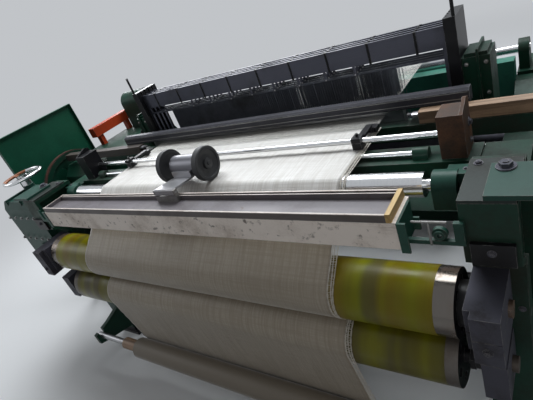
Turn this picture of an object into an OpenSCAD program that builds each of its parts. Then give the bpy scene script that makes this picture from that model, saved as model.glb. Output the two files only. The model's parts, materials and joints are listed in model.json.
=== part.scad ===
// Flexible-rapier power loom with its cloth, take-up rollers, sley, heald frames and warp beam.
// X runs across the loom, Y from the weaver's side to the back, Z up from the floor.

/* [Cloth and warp] */
// Width of the woven cloth
cloth_w = 1294; // [1100:2:1320]
// Thickness of the cloth and of the warp sheet
cloth_t = 1.2; // [0.8:0.1:1.6]
// Height of the cloth line above the floor
cloth_z = 982; // [976:1:986]
// Distance of the last woven thread in front of the loom's middle
fell = 315; // [305:1:325]
// Groups of warp threads that pass side by side
warp_groups = 120; // [60:2:120]
// Gap between two groups
warp_gap = 4.4; // [3.8:0.1:5]

/* [Frame] */
// Distance between the inner faces of the side frames
frame_gap = 1966; // [1940:2:2000]
// Width of a side frame's flange
frame_w = 118; // [100:1:130]
// Thickness of a side frame's web
web_t = 22; // [14:1:40]
// Thickness of a side frame's rim
rim_t = 18; // [12:1:26]
// Top of the raised front of a side frame
front_top = 1010; // [1000:1:1016]
// Height of the machine feet
foot_h = 45; // [35:1:60]
// Diameter of the anchor holes
anchor_d = 18; // [12:1:22]

/* [Breast] */
// Front face of the breast beam, in front of the middle
breast_y = 863; // [856:1:875]
// Height of the breast beam's front
breast_h = 81; // [70:1:90]
// Depth of the tool tray
tray_d = 116; // [100:1:118]
// Gap from the end of the tool tray to the side frame
tray_gap = 142; // [130:1:160]
// Height of the tray's rim
tray_rim = 22; // [16:1:26]
// Diameter of the breast roller
breast_roller_d = 72; // [60:1:76]
// Breast roller's axis in front of the middle
breast_roller_y = 640; // [630:1:650]

/* [Take-up] */
// Diameter of the coated take-up rollers
take_up_d = 185; // [170:1:190]
// Take-up rollers' axes in front of the middle
take_up_y = 832; // [826:1:840]
// Height of the upper take-up roller
upper_z = 708; // [704:1:716]
// Height of the lower take-up roller
lower_z = 505; // [498:1:508]
// Diameter of the press roller behind them
press_d = 90; // [80:1:100]
// Diameter of the cloth on the cloth roll
cloth_roll_d = 105; // [80:1:150]
// Cloth roll's axis in front of the middle
cloth_roll_y = 935; // [925:1:945]
// Height of the cloth roll
cloth_roll_z = 165; // [150:1:190]

/* [Sley] */
// Rocking shaft in front of the middle
rocking_y = 260; // [255:1:265]
// Height of the rocking shaft
rocking_z = 240; // [230:1:250]
// Reed in front of the middle with the loom at rest
reed_y = 210; // [207:1:213]
// Height of the reed wires
reed_h = 68; // [60:1:74]
// Distance from the cloth's edge to the reed's end
reed_margin = 53; // [45:1:75]
// Gap from the end of the reed cap to the side frame
cap_gap = 66; // [62:1:75]
// Gap from the end of a rapier guide to the outer face of the drive unit
guide_gap = 20; // [10:1:40]

/* [Healds] */
// Distance from one heald frame to the next
frame_pitch = 30; // [26:1:32]
// Front heald frame in front of the middle
first_frame_y = 39; // [34:1:42]
// Width over a heald frame's stiles
heald_w = 1676; // [1650:2:1700]
// Height of a heald frame's rail
rail_h = 77; // [60:1:80]
// Top of the heald frames with the shed closed
heald_top = 1215; // [1205:1:1230]
// Thickness of a rail
rail_t = 10; // [8:1:12]

/* [Back] */
// Diameter of the whip roller
whip_d = 100; // [80:1:110]
// Whip roller's axis behind the middle
whip_y = 466; // [450:1:480]
// Diameter of the warp beam's flanges
flange_d = 700; // [680:2:710]
// Diameter of the yarn on the warp beam
yarn_d = 560; // [400:2:620]
// Height of the warp beam's axis
beam_z = 430; // [420:1:440]

/* [Drive] */
// Diameter of the flywheel
flywheel_d = 492; // [460:2:500]
// Diameter of the motor pulley
pulley_d = 120; // [90:1:140]
// Width over the drive units
unit_span = 3120; // [3090:2:3120]
// Gap from the flywheel's shaft to the end guard
guard_gap = 61; // [40:1:90]

/* [Counter] */
// Diameter of the measuring wheels
wheel_d = 134; // [120:1:140]
// Distance between the measuring wheels
wheel_gap = 205; // [180:1:230]

/* [Hidden] */
$fn = 48;

green = "#1c4a3a";
teal = "#5f8478";
chrome = "#c9ccd0";
steel = "#8a8c90";
black = "#26282c";
coating = "#8b8626";
slate = "#4a4c55";
thread = "#e9e7e0";

seat = 0.3;                         // clearance of what rests on another body
run = 0.05;                         // radial clearance of a shaft in its bore
inner = frame_gap / 2;              // inner face of a side frame
outer = inner + frame_w;            // outer face of a side frame
web_x = inner + (frame_w - web_t) / 2;
tray_w = frame_gap - 2 * tray_gap;
cap_w = frame_gap - 2 * cap_gap;
reed_x = cloth_w / 2 + reed_margin; // end of the reed
front_y = -826;                     // front face of the raised frame top
step_y = -770;                      // front face of the frame below it
back_y = 810;
sley_top = cloth_z - 17;            // front edge of the race board
guide_z = sley_top - 1;             // underside of the rapier guides
frame_top = 800;                    // frame top where the sley swings over it
rear_top = 840;                     // frame top under the whip roller
take_up_r = take_up_d / 2;
press_r = press_d / 2;
nip = cloth_t + 4 * seat;           // gap between a take-up roller and the press roller
mid_z = (upper_z + lower_z) / 2;
press_y = -take_up_y + sqrt(pow(take_up_r + press_r + nip, 2) - pow((upper_z - lower_z) / 2, 2));
whip_r = whip_d / 2;
whip_z = cloth_z - whip_r;
flange_r = flange_d / 2;
beam_y = cloth_roll_y + cloth_roll_d / 2 - flange_r;
breast_roller_r = breast_roller_d / 2;
breast_roller_z = cloth_z - breast_roller_r;
beam_top = 960;                     // top of the front cross beam
bar_r = 9.5;                        // guide bar
bar_end = inner - 148;
bar_y0 = -507;
bar_z0 = cloth_z - bar_r;
temple_y = -463;
temple_z = 1010;
temple_r = 10;
temple_end = inner - 88;            // end of the temple bar
group_pitch = cloth_w / warp_groups;
wire_t = 1.6;                       // reed wires and healds
reed_z = cloth_z - reed_h / 2 - 14; // foot of the reed wires
reed_top = reed_z + reed_h;
foot_y = [[step_y, -600], [640, back_y]];
unit_x = [outer + 29, unit_span / 2];
unit_y = [-340, 400];
unit_top = 940;
flywheel_x = unit_x[1] + 40;        // middle of the flywheel's rim
flywheel_y = -263;
flywheel_z = 768;
flywheel_r = flywheel_d / 2;
groove_depth = 10;                  // depth of the belt grooves
belt_w = 10;
belt_h = 6;
pulley_r = pulley_d / 2;
motor_y = unit_y[0] - 112;
motor_z = 300;
counter_y = -621;
wheel_r = wheel_d / 2;
counter_z = cloth_z + cloth_t + 2 * seat + wheel_r;
counter_x = 68 - wheel_gap / 2;

// Box from the corners of its three ranges
module box(x, y, z) {
    translate([x[0], y[0], z[0]]) cube([x[1] - x[0], y[1] - y[0], z[1] - z[0]]);
}

// Round bar along X, from x[0] to x[1]
module bar_x(r, x, y, z) {
    translate([x[0], y, z]) rotate([0, 90, 0]) cylinder(r = r, h = x[1] - x[0]);
}

// Round bar along Y
module bar_y(r, x, y, z) {
    translate([x, y[0], z]) rotate([-90, 0, 0]) cylinder(r = r, h = y[1] - y[0]);
}

// Round bar along Z
module bar_z(r, x, y, z) {
    translate([x, y, z[0]]) cylinder(r = r, h = z[1] - z[0]);
}

// Plate across X with its outline given in Y and Z
module plate(x, points) {
    translate([x[0], 0, 0]) rotate([90, 0, 90]) linear_extrude(x[1] - x[0]) polygon(points);
}

// Opening with round corners, across X
module window(x, y, z, r) {
    box(x, [y[0] + r, y[1] - r], z);
    box(x, y, [z[0] + r, z[1] - r]);
    for (cy = [y[0] + r, y[1] - r], cz = [z[0] + r, z[1] - r]) bar_x(r, x, cy, cz);
}

module both_sides() {
    children();
    mirror([1, 0, 0]) children();
}

// Washer of radius r with a hexagon screw head and the screw's end on it
module bolt(r) {
    cylinder(r = r, h = r * 0.15);
    translate([0, 0, r * 0.15]) cylinder(r = r * 0.68, h = r * 0.45, $fn = 6);
    translate([0, 0, r * 0.6]) cylinder(r = r * 0.32, h = r * 0.12, $fn = 24);
}

module bolt_up(r, x, y, z) {
    translate([x, y, z]) bolt(r);
}

// Screw whose head faces the weaver
module bolt_front(r, x, y, z) {
    translate([x, y, z]) rotate([90, 0, 0]) bolt(r);
}

// Screw on a side face; dir is +1 towards +X
module bolt_side(r, x, y, z, dir) {
    translate([x, y, z]) rotate([0, 90 * dir, 0]) bolt(r);
}

function unit(v) = v / norm(v);
function left_of(v) = [-v[1], v[0]];

// Outline moved inward by d; its points run anticlockwise
function inset(p, d) = [for (i = [0 : len(p) - 1])
    let (a = p[(i + len(p) - 1) % len(p)], b = p[i], c = p[(i + 1) % len(p)],
         n1 = left_of(unit(b - a)), n2 = left_of(unit(c - b)))
    b + d * (n1 + n2) / (1 + n1 * n2)];

// Heading of the straight run between two wraps; a wrap is [centre, radius, turn], turn +1 anticlockwise
function heading(a, b) =
    let (v = b[0] - a[0]) atan2(v[1], v[0]) - asin((b[1] * b[2] - a[1] * a[2]) / norm(v));

function turn_angle(from, to, turn) = turn * (turn * (to - from) - 360 * floor(turn * (to - from) / 360));

// Mid-line of a sheet led round a list of wraps, as [point, heading], from heading h0 to heading h1.
// Each arc is stepped so that its chords stay within sag of the true circle.
function led_path(w, h0, h1, sag = 0.12) =
    let (n = len(w), h = [h0, for (i = [0 : n - 2]) heading(w[i], w[i + 1]), h1])
    [for (i = [0 : n - 1])
        let (s = w[i][1] == 0 ? 0 : turn_angle(h[i], h[i + 1], w[i][2]),
             step = w[i][1] == 0 ? 9 : 2 * acos(1 - sag / w[i][1]), k = max(1, ceil(abs(s) / step)))
        for (j = [0 : w[i][1] == 0 ? 0 : k])
            let (a = w[i][1] == 0 ? h[i + 1] : h[i] + s * j / k)
            [w[i][0] - w[i][1] * w[i][2] * [-sin(a), cos(a)], a]];

// Closed outline of a sheet of thickness t along such a path
function sheet_outline(path, t) = concat(
    [for (p = path) p[0] + t / 2 * [-sin(p[1]), cos(p[1])]],
    [for (i = [len(path) - 1 : -1 : 0]) let (p = path[i]) p[0] - t / 2 * [-sin(p[1]), cos(p[1])]]);

cloth_gap = seat + cloth_t / 2;     // from a roller's surface to the middle of the cloth
cloth_wraps = [
    [[-fell, cloth_z + cloth_gap], 0, 1],
    [[-breast_roller_y, breast_roller_z], breast_roller_r + cloth_gap, 1],
    [[-take_up_y, upper_z], take_up_r + cloth_gap, 1],
    [[press_y, mid_z], press_r + cloth_gap, -1],
    [[-take_up_y, lower_z], take_up_r + cloth_gap, 1],
    [[-cloth_roll_y, cloth_roll_z], cloth_roll_d / 2 + cloth_gap, -1]];
warp_wraps = [
    [[-fell, cloth_z + cloth_gap], 0, 1],
    [[whip_y, whip_z], whip_r + cloth_gap, -1],
    [[beam_y, beam_z], yarn_d / 2 + cloth_gap, -1]];
gap_back = 150;                     // the gaps between the warp groups end here, behind the heald frames

side_outline = [
    [step_y, foot_h], [-600, foot_h], [-540, 170], [580, 170], [640, foot_h], [back_y, foot_h],
    [back_y, 500], [660, rear_top], [330, rear_top], [260, frame_top], [-400, frame_top],
    [-425, 950], [-600, 950], [-616, front_top], [front_y, front_top], [front_y, rear_top],
    [step_y, frame_top]];

// Cast side frame: a web with a rim, three windows and bosses for the shafts
module side_frame() {
    difference() {
        union() {
            difference() {
                plate([inner, outer], side_outline);
                plate([inner - 1, web_x], inset(side_outline, rim_t));
                plate([web_x + web_t, outer + 1], inset(side_outline, rim_t));
            }
            for (y = [-380, 90]) box([inner + 4, outer - 4], [y - 9, y + 9], [187, frame_top - rim_t]);
            bar_x(62, [inner, outer], -rocking_y, rocking_z);
            bar_x(70, [inner, outer], beam_y, beam_z);
            bar_x(34, [inner, outer], press_y, mid_z);
            box([inner, outer], [step_y, step_y + 60], [upper_z - 110, upper_z + 74]);
            box([inner, outer], [step_y, step_y + 60], [lower_z - 70, lower_z + 70]);
            box([inner, outer], [step_y, step_y + 60], [70, 250]);
        }
        for (y = [[-680, -420], [-340, 50], [130, 430]])
            window([web_x - 1, web_x + web_t + 1], y, [rocking_z + 100, 740], 60);
        bar_x(31, [inner - 1, outer + 1], -rocking_y, rocking_z);
        bar_x(31, [inner - 1, outer + 1], beam_y, beam_z);
        bar_x(12 + run, [inner - 1, outer + 1], press_y, mid_z);
    }
}

module left_side_frame() {
    color(green) mirror([1, 0, 0]) side_frame();
}

module right_side_frame() {
    color(green) side_frame();
}

// Flat cover plates on the raised frame fronts, each with a narrower plate on top
module side_cover_plates() {
    color(teal) both_sides() {
        box([inner, outer - 2], [front_y, -640], [front_top, front_top + 8]);
        box([inner + 54, unit_x[0] + 60], [front_y, -686], [front_top + 8, front_top + 20]);
    }
}

// Foot pads with two anchor holes each, under both ends of both side frames
module machine_feet() {
    color(black) both_sides() for (y = foot_y) difference() {
        union() {
            box([inner - 30, outer + 20], [y[0] - 10, y[1] + 10], [0, 18]);
            box([inner, outer], y, [0, foot_h]);
        }
        for (ay = [y[0] + 25, y[1] - 25]) bar_z(anchor_d / 2, inner - 15, ay, [-1, 19]);
    }
}

front_beam_y = [-546, -440];
channel_t = 12;                     // wall of the channel beams
end_t = 14;                         // end plates of the beams between the side frames

// Channel between the side frames that carries the guide bar and the temple bar
module front_cross_beam() {
    y = front_beam_y;
    z = [beam_top - 84, beam_top];
    color(green) difference() {
        union() {
            box([-inner, inner], y, [beam_top - 10, beam_top]);
            box([-inner, inner], [y[0], y[0] + channel_t], z);
            box([-inner, inner], [y[1] - channel_t, y[1]], z);
            both_sides() box([inner - end_t, inner], y, z);
            both_sides() {
                box([bar_end - 35, bar_end + 11], [bar_y0 - 19, bar_y0 + 19], [beam_top, bar_z0]);
                bar_x(19, [bar_end - 35, bar_end + 11], bar_y0, bar_z0);
            }
        }
        bar_x(bar_r + run, [-bar_end - 1, bar_end + 1], bar_y0, bar_z0);
    }
}

rear_beam_y = [335, 400];
rear_beam_z = [rear_top - 120, rear_top + 85];
rib_pitch = 325;

// Tall channel in front of the whip roller, open to the back, with ribs
module rear_cross_beam() {
    y = rear_beam_y;
    z = rear_beam_z;
    color(green) {
        box([-inner, inner], [y[0], y[0] + channel_t], z);
        for (low = [z[0], z[1] - channel_t]) box([-inner, inner], y, [low, low + channel_t]);
        for (x = [-2 * rib_pitch : rib_pitch : 2 * rib_pitch])
            box([x - 5, x + 5], [y[0] + channel_t, y[1] - 4], [z[0] + channel_t, z[1] - channel_t]);
        both_sides() box([inner - end_t, inner], y, z);
    }
}

frames = 4;                         // heald frames, one behind the other
frame_y = [for (i = [0 : frames - 1]) -first_frame_y + i * frame_pitch];
rod_x = 520;
rod_r = 6;

guide_beam_y = [frame_y[0] - 36, frame_y[3] + 36];
guide_beam_z = [400, 452];
boss_top = 500;                     // top of the rods' guide bosses

// Low tie between the side frames that guides the lifting rods of the heald frames
module harness_guide_beam() {
    y = guide_beam_y;
    z = guide_beam_z;
    color(green) difference() {
        union() {
            box([-inner, inner], y, [z[1] - channel_t, z[1]]);
            box([-inner, inner], [y[0], y[0] + channel_t], z);
            box([-inner, inner], [y[1] - channel_t, y[1]], z);
            both_sides() box([inner - end_t, inner], y, [z[0], boss_top]);
            both_sides() for (fy = frame_y) bar_z(rod_r + 6, rod_x, fy, [z[1], boss_top]);
        }
        both_sides() for (fy = frame_y) bar_z(rod_r + run, rod_x, fy, [z[0], boss_top + 1]);
    }
}

// Screw heads and washers of the frame, as one set
module frame_bolts() {
    color(steel) both_sides() {
        bolt_up(22, inner + 86, -706, front_top + 20);
        bolt_up(11, inner + 22, -664, front_top + 8);
        bolt_front(12, inner + 49, -948, upper_z - 32);
        bolt_front(10, inner + 61, front_y - 12, rear_top + 42);
        bolt_front(9, outer - 16, step_y, upper_z - 60);
        bolt_side(13, temple_end + 59, front_beam_y[1] - 28, temple_z + 32, 1);
        bolt_side(9, temple_end + 59, front_beam_y[1] - 28, temple_z - 24, 1);
        bolt_up(7, inner - 17, -626, breast_roller_z + 36);
        for (y = [-500, -470]) bolt_side(10, inner - end_t, y, beam_top - 50, -1);
        for (z = [rear_top - 90, rear_top - 40]) bolt_side(12, inner - end_t, 372, z, -1);
    }
}

beam_bottom = cloth_z + 18 - tray_rim - breast_h;
boss_x = inner - 46;

// Folded breast beam under the tool tray
module breast_beam() {
    tray_z = beam_bottom + breast_h;
    color("#b9aea2") plate([-tray_w / 2 - 10, tray_w / 2 + 10], [
        [-breast_y, beam_bottom], [-breast_y + 46, beam_bottom], [-breast_y + 46, beam_bottom + 5],
        [-breast_y + 6, beam_bottom + 5], [-breast_y + 6, tray_z - 6],
        [-breast_y + tray_d, tray_z - 6], [-breast_y + tray_d, tray_z], [-breast_y, tray_z]]);
}

// Channel brackets that hold the breast beam's ends on the side frames
module breast_beam_brackets() {
    x0 = tray_w / 2 + 10;
    color(teal) both_sides() difference() {
        union() {
            box([x0, x0 + 6], [-breast_y - 3, -breast_y + 100], [beam_bottom - 8, beam_bottom + breast_h]);
            box([x0, x0 + 22], [-breast_y - 3, -breast_y + 3], [beam_bottom - 8, beam_bottom + breast_h]);
            box([x0, x0 + 22], [-breast_y + 94, -breast_y + 100], [beam_bottom - 8, beam_bottom + 30]);
            box([x0, inner + 10], [front_y - 12, front_y], [beam_bottom + 2, beam_bottom + 14]);
            box([inner - 12, inner + 10], [front_y - 12, front_y], [beam_bottom + 2, beam_bottom + 66]);
            bar_y(13, boss_x, [front_y - 12, front_y + 6], beam_bottom + 28);
            bar_y(18, boss_x, [front_y - 6, front_y + 6], beam_bottom + 28);
            box([boss_x - 12, boss_x + 12], [front_y - 6, front_y + 6], [beam_bottom + 2, beam_bottom + 28]);
        }
        bar_y(6, boss_x, [front_y - 13, front_y + 7], beam_bottom + 28);
    }
}

// Shallow tray with a recessed floor and thin rims
module tool_tray() {
    z0 = beam_bottom + breast_h;
    y = [-breast_y, -breast_y + tray_d];
    color("#9c97a0") difference() {
        box([-tray_w / 2, tray_w / 2 - 13], y, [z0, z0 + tray_rim]);
        box([-tray_w / 2 + 6, tray_w / 2], [y[0] + 6, y[1] - 18], [z0 + 5, z0 + tray_rim + 1]);
        box([-tray_w / 2 + 6, tray_w / 2], [y[1] - 14, y[1] - 4], [z0 + 14, z0 + tray_rim + 1]);
    }
}

module tray_end_board() {
    z0 = beam_bottom + breast_h;
    color("#b79a55")
        box([tray_w / 2 - 13, tray_w / 2], [-breast_y, -breast_y + tray_d], [z0, z0 + tray_rim + 3]);
}

// Wire key with a cross handle, left hooked in the bracket's boss
module tee_key() {
    color(steel) {
        bar_x(3, [boss_x - 57, boss_x + 23], front_y - 16, beam_bottom + 72);
        bar_z(3, boss_x - 19, front_y - 16, [beam_bottom + 5, beam_bottom + 72]);
        bar_y(3, boss_x - 19, [front_y - 16, front_y - 12], beam_bottom + 8);
    }
}

// Housings with round tops, each on a block that is screwed to the side frame
module breast_roller_bearings() {
    z = breast_roller_z;
    x = [inner - 97, inner - 34];
    color(green) both_sides() difference() {
        union() {
            bar_x(breast_roller_r + 4, x, -breast_roller_y, z);
            box(x, [-breast_roller_y - 40, -breast_roller_y + 40], [z - 58, z]);
            box([x[0] + 34, inner], [-breast_roller_y - 10, -breast_roller_y + 40], [z - 30, z + 36]);
        }
        bar_x(16 + run, [x[0] - 1, x[1] + 1], -breast_roller_y, z);
    }
}

module breast_roller() {
    color(chrome) {
        bar_x(breast_roller_r, [120 - inner, inner - 120], -breast_roller_y, breast_roller_z);
        bar_x(16, [43 - inner, inner - 43], -breast_roller_y, breast_roller_z);
    }
}

module guide_bar() {
    color(chrome) bar_x(bar_r, [-bar_end, bar_end], bar_y0, bar_z0);
}

module temple_bar() {
    color(chrome) bar_x(temple_r, [-temple_end, temple_end], temple_y, temple_z);
}

// Blocks on the cross beam that hold the temple bar, with a higher back plate
module temple_bar_brackets() {
    y = [front_beam_y[0] + 16, front_beam_y[1]];
    z = temple_z + 80;
    color("#3a2d26") both_sides() difference() {
        union() {
            box([temple_end - 11, temple_end + 59], y, [beam_top, z]);
            plate([temple_end + 49, temple_end + 59], [[y[0], z], [y[1], z], [y[1], z + 16],
                [y[1] - 24, z + 24]]);
        }
        bar_x(temple_r + run, [temple_end - 12, temple_end + 1], temple_y, temple_z);
    }
}

temple_x = cloth_w / 2 - 49;
temple_w = 46;                      // width over a temple's spiked roller
roll_y = -fell - 38;

// Temples: a clamp on the bar, an arm and a spiked roller under its cover at each selvedge
module temples() {
    z = cloth_z + cloth_t + 2 * seat + 13;
    color(black) both_sides() {
        difference() {
            union() {
                box([temple_x, temple_x + 32], [temple_y - 20, temple_y + 20], [cloth_z + 4, temple_z + 16]);
                box([temple_x + 4, temple_x + 28], [temple_y + 20, roll_y], [z + 8, z + 18]);
                box([temple_x, temple_x + temple_w], [roll_y - 16, roll_y + 16], [z + 9, z + 13]);
                for (x = [temple_x, temple_x + temple_w - 4])
                    box([x, x + 4], [roll_y - 14, roll_y + 14], [z - 6, z + 9]);
                bar_x(5, [temple_x, temple_x + temple_w], roll_y, z - 2);
                for (x = [temple_x + 7 : 9 : temple_x + temple_w - 9])
                    bar_x(10.5, [x, x + 5], roll_y, z - 2);
                bar_z(5, temple_x + 16, temple_y, [temple_z + 16, temple_z + 27]);
            }
            bar_x(temple_r + run, [temple_x - 1, temple_x + 33], temple_y, temple_z);
            box([temple_x - 1, temple_x + 33], [temple_y - 21, temple_y - 8], [temple_z - 1, temple_z + 1]);
        }
    }
}

block_x = inner + 17;
shaft_r = 22;                       // shafts of the take-up rollers
coat_end = inner - 72;

// Split blocks on the fronts of the side frames; the upper pair is larger
module take_up_bearing_blocks() {
    color("#50525c") both_sides() difference() {
        union() {
            box([block_x, block_x + 65], [-948, step_y], [upper_z - 78, upper_z + 72]);
            box([block_x - 16, block_x], [-924, step_y], [upper_z - 60, upper_z + 72]);
            box([block_x, block_x + 60], [-906, step_y], [lower_z - 66, lower_z + 66]);
            box([block_x, block_x + 92], [front_y - 12, front_y], [rear_top + 4, rear_top + 66]);
                    }
        for (z = [upper_z, lower_z]) bar_x(shaft_r + run, [block_x - 17, block_x + 66], -take_up_y, z);
        box([block_x - 17, block_x + 66], [-949, -take_up_y - shaft_r], [upper_z - 2, upper_z]);
    }
}

// Coated roller with steel end rings on a through shaft
module take_up_roller(z, ring) {
    difference() {
        union() {
            bar_x(take_up_r, [-coat_end, coat_end], -take_up_y, z);
            bar_x(take_up_r - 0.5, [-coat_end - ring, coat_end + ring], -take_up_y, z);
            bar_x(shaft_r, [-inner - 92, inner + 92], -take_up_y, z);
        }
        both_sides() for (a = [0 : 60 : 300])
            bar_x(13, [coat_end + ring - 6, coat_end + ring + 1], -take_up_y + 62 * cos(a), z + 62 * sin(a));
    }
}

module upper_take_up_roller() {
    color(coating) union() {
        take_up_roller(upper_z, 49);
        both_sides() bar_x(60, [inner - 23, inner - 3], -take_up_y, upper_z);
    }
}

module lower_take_up_roller() {
    color(coating) union() {
        take_up_roller(lower_z, 34);
        both_sides() {
            translate([inner - 21, -take_up_y, lower_z]) rotate([0, 90, 0])
                cylinder(r = 36, h = 14, $fn = 6);
            bar_x(32, [inner - 7, inner + 4], -take_up_y, lower_z);
        }
    }
}

// Roller behind the nip that presses the cloth on both take-up rollers
module press_roller() {
    color(steel) {
        bar_x(press_r, [33 - inner, inner - 33], press_y, mid_z);
        bar_x(12, [-outer, outer], press_y, mid_z);
    }
}

roll_shaft = 16;

// Cradles with open slots for the cloth roll's shaft
module cloth_roll_brackets() {
    z = cloth_roll_z;
    color(green) both_sides() difference() {
        plate([inner, inner + 24], [
            [step_y, 70], [step_y, 240], [-cloth_roll_y + 60, z + 45], [-cloth_roll_y - 36, z + 30],
            [-cloth_roll_y - 36, z - 30], [-cloth_roll_y, z - 44]]);
        bar_x(roll_shaft + run, [inner - 1, inner + 25], -cloth_roll_y, z);
        box([inner - 1, inner + 25], [-cloth_roll_y - roll_shaft - run, -cloth_roll_y + roll_shaft + run],
            [z, z + 80]);
    }
}

// Core with the wound cloth
module cloth_roll() {
    color(thread) union() {
        bar_x(cloth_roll_d / 2, [-cloth_w / 2, cloth_w / 2], -cloth_roll_y, cloth_roll_z);
        bar_x(30, [-cloth_w / 2 - 120, cloth_w / 2 + 120], -cloth_roll_y, cloth_roll_z);
        bar_x(roll_shaft, [-inner - 34, inner + 34], -cloth_roll_y, cloth_roll_z);
    }
}

// Woven cloth from the last thread over the breast roller and round the take-up rollers to its roll
module cloth() {
    path = led_path(cloth_wraps, 180, 210);
    color(thread) plate([-cloth_w / 2, cloth_w / 2], sheet_outline(path, cloth_t));
}

// Warp from the last woven thread to the beam, parted into groups where reed and healds pass
module warp() {
    path = led_path(warp_wraps, 0, -110);
    color(thread) difference() {
        plate([-cloth_w / 2, cloth_w / 2], sheet_outline(path, cloth_t));
        for (i = [1 : warp_groups - 1]) let (x = -cloth_w / 2 + i * group_pitch)
            box([x - warp_gap / 2, x + warp_gap / 2], [-fell + 1, gap_back], [cloth_z, cloth_z + 3]);
    }
}

module rocking_shaft_bearings() {
    color(green) both_sides() difference() {
        union() {
            bar_x(52, [inner - 40, inner], -rocking_y, rocking_z);
            bar_x(62, [inner - 12, inner], -rocking_y, rocking_z);
        }
        bar_x(30 + run, [inner - 41, inner + 1], -rocking_y, rocking_z);
    }
}

sword_x = [cap_w / 2 - 39, cap_w / 2 - 13];
race_front = -285;
race_back = -195;
sley_z = 905;                       // underside of the sley beam

// Rocking shaft with the two sley swords welded to it
module rocking_shaft() {
    color(black) {
        bar_x(30, [-outer + 4, outer - 4], -rocking_y, rocking_z);
        both_sides() {
            difference() {
                plate(sword_x, [[-rocking_y - 70, rocking_z - 40], [-rocking_y + 70, rocking_z - 40],
                    [race_back, sley_z], [race_front, sley_z]]);
                bar_x(29, [sword_x[0] - 1, sword_x[1] + 1], -rocking_y, rocking_z);
                for (z = [420, 560, 700, 820]) bar_x(26 - (z - 420) / 50, [sword_x[0] - 1, sword_x[1] + 1],
                    -rocking_y + (z - 420) / 26, z);
            }
            bar_x(54, [sword_x[0] - 20, sword_x[1] + 20], -rocking_y, rocking_z);
        }
    }
}

groove = [-reed_y - 7, -reed_y + 7];
reed_foot = 22;                     // depth of the reed's foot in the groove

// Box beam of the sley with the race board and the posts that hold the reed cap
module sley_beam() {
    color(green) difference() {
        union() {
            box([-outer + 1, outer - 1], [race_front, race_back], [sley_z, sley_z + 39]);
            both_sides() box([reed_x + 22, outer - 1], [race_front, race_back], [sley_z + 39, guide_z]);
            plate([-reed_x - 22, reed_x + 22], [[race_front, sley_z + 39], [race_back, sley_z + 39],
                [race_back, sley_top - 12], [groove[0], sley_top - 10], [race_front, sley_top]]);
            both_sides() box(sword_x, [-reed_y - 11, -reed_y + 13], [guide_z, reed_top]);
        }
        box([-reed_x - seat, reed_x + seat], groove, [reed_z - reed_foot - seat, sley_top + 1]);
    }
}

// Reed: foot, wires between the warp groups, and head
module reed() {
    color(steel) {
        box([-reed_x, reed_x], [groove[0] + seat, groove[1] - seat], [reed_z - reed_foot, reed_z]);
        box([-reed_x, reed_x], [-reed_y - 5, -reed_y + 5], [reed_top, reed_top + 14]);
        for (i = [1 : warp_groups - 1]) let (x = -cloth_w / 2 + i * group_pitch)
            box([x - wire_t / 2, x + wire_t / 2], [-reed_y - 2.5, -reed_y + 2.5], [reed_z, reed_top]);
        both_sides() box([reed_x - 10, reed_x], [-reed_y - 5, -reed_y + 5], [reed_z, reed_top]);
    }
}

// Channel over the reed's head
module reed_cap() {
    color("#8d8f96") plate([-cap_w / 2, cap_w / 2], [
        [-reed_y - 22, reed_top + 6], [-reed_y - 16, reed_top], [-reed_y - 5.3, reed_top],
        [-reed_y - 5.3, reed_top + 14.3], [-reed_y + 5.3, reed_top + 14.3], [-reed_y + 5.3, reed_top],
        [-reed_y + 16, reed_top], [-reed_y + 22, reed_top + 6], [-reed_y + 22, reed_top + 40],
        [-reed_y + 12, reed_top + 48], [-reed_y - 12, reed_top + 48], [-reed_y - 22, reed_top + 40]]);
}

guide_in = reed_x + 60;             // inner end of a rapier guide
guide_end = unit_x[1] - guide_gap;
guide_y = [-278, -236];
tape_y = [guide_y[0] + 10, guide_y[1] - 8];
tape_z = guide_z + 28;

// Channels on the sley in which the rapiers slide, longer than the loom's frame
module rapier_guides() {
    color("#a58c74") both_sides() difference() {
        box([guide_in, guide_end], guide_y, [guide_z, guide_z + 42]);
        box([guide_in - 1, guide_end - 5], [guide_y[0] + 6, guide_y[1] - 3], [guide_z + 24, guide_z + 38]);
    }
}

// Flexible tape with a gripper head at its inner end
module rapier() {
    color(steel) {
        box([guide_in + 100, guide_end - 5.5], tape_y, [tape_z, tape_z + 2.5]);
        plate([guide_in - 25, guide_in + 100], [[tape_y[0] - 3, tape_z - 2], [tape_y[1] + 3, tape_z - 2],
            [tape_y[1] + 3, tape_z + 5], [tape_y[1] - 6, tape_z + 8], [tape_y[0] + 6, tape_z + 8],
            [tape_y[0] - 3, tape_z + 5]]);
        plate([guide_in - 42, guide_in - 25], [[tape_y[0] + 5, tape_z - 1], [tape_y[1] - 5, tape_z - 1],
            [tape_y[1] - 5, tape_z + 5], [tape_y[0] + 5, tape_z + 5]]);
    }
}

module left_rapier() {
    mirror([1, 0, 0]) rapier();
}

module right_rapier() {
    rapier();
}

comb_x = heald_w / 2 - 8;           // the stiles enter the guide combs this deep

comb_w = 40;
comb_y = [frame_y[0] - 33, frame_y[3] + 33];
comb_z = [930, heald_top + 28];
rod_top = heald_top + 120;          // top of the thin rods on the combs

// Slotted combs that guide the ends of the heald frames, with a thin rod on each
module heald_guides() {
    color(black) both_sides() difference() {
        union() {
            box([comb_x, comb_x + comb_w], comb_y, comb_z);
            bar_z(6, comb_x + comb_w - 7, comb_y[0] + 11, [comb_z[1], rod_top]);
        }
        for (y = frame_y) box([comb_x - 1, comb_x + 8 + seat],
            [y - rail_t / 2 - seat, y + rail_t / 2 + seat], [comb_z[0] - 1, comb_z[1] + 1]);
    }
}

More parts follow.
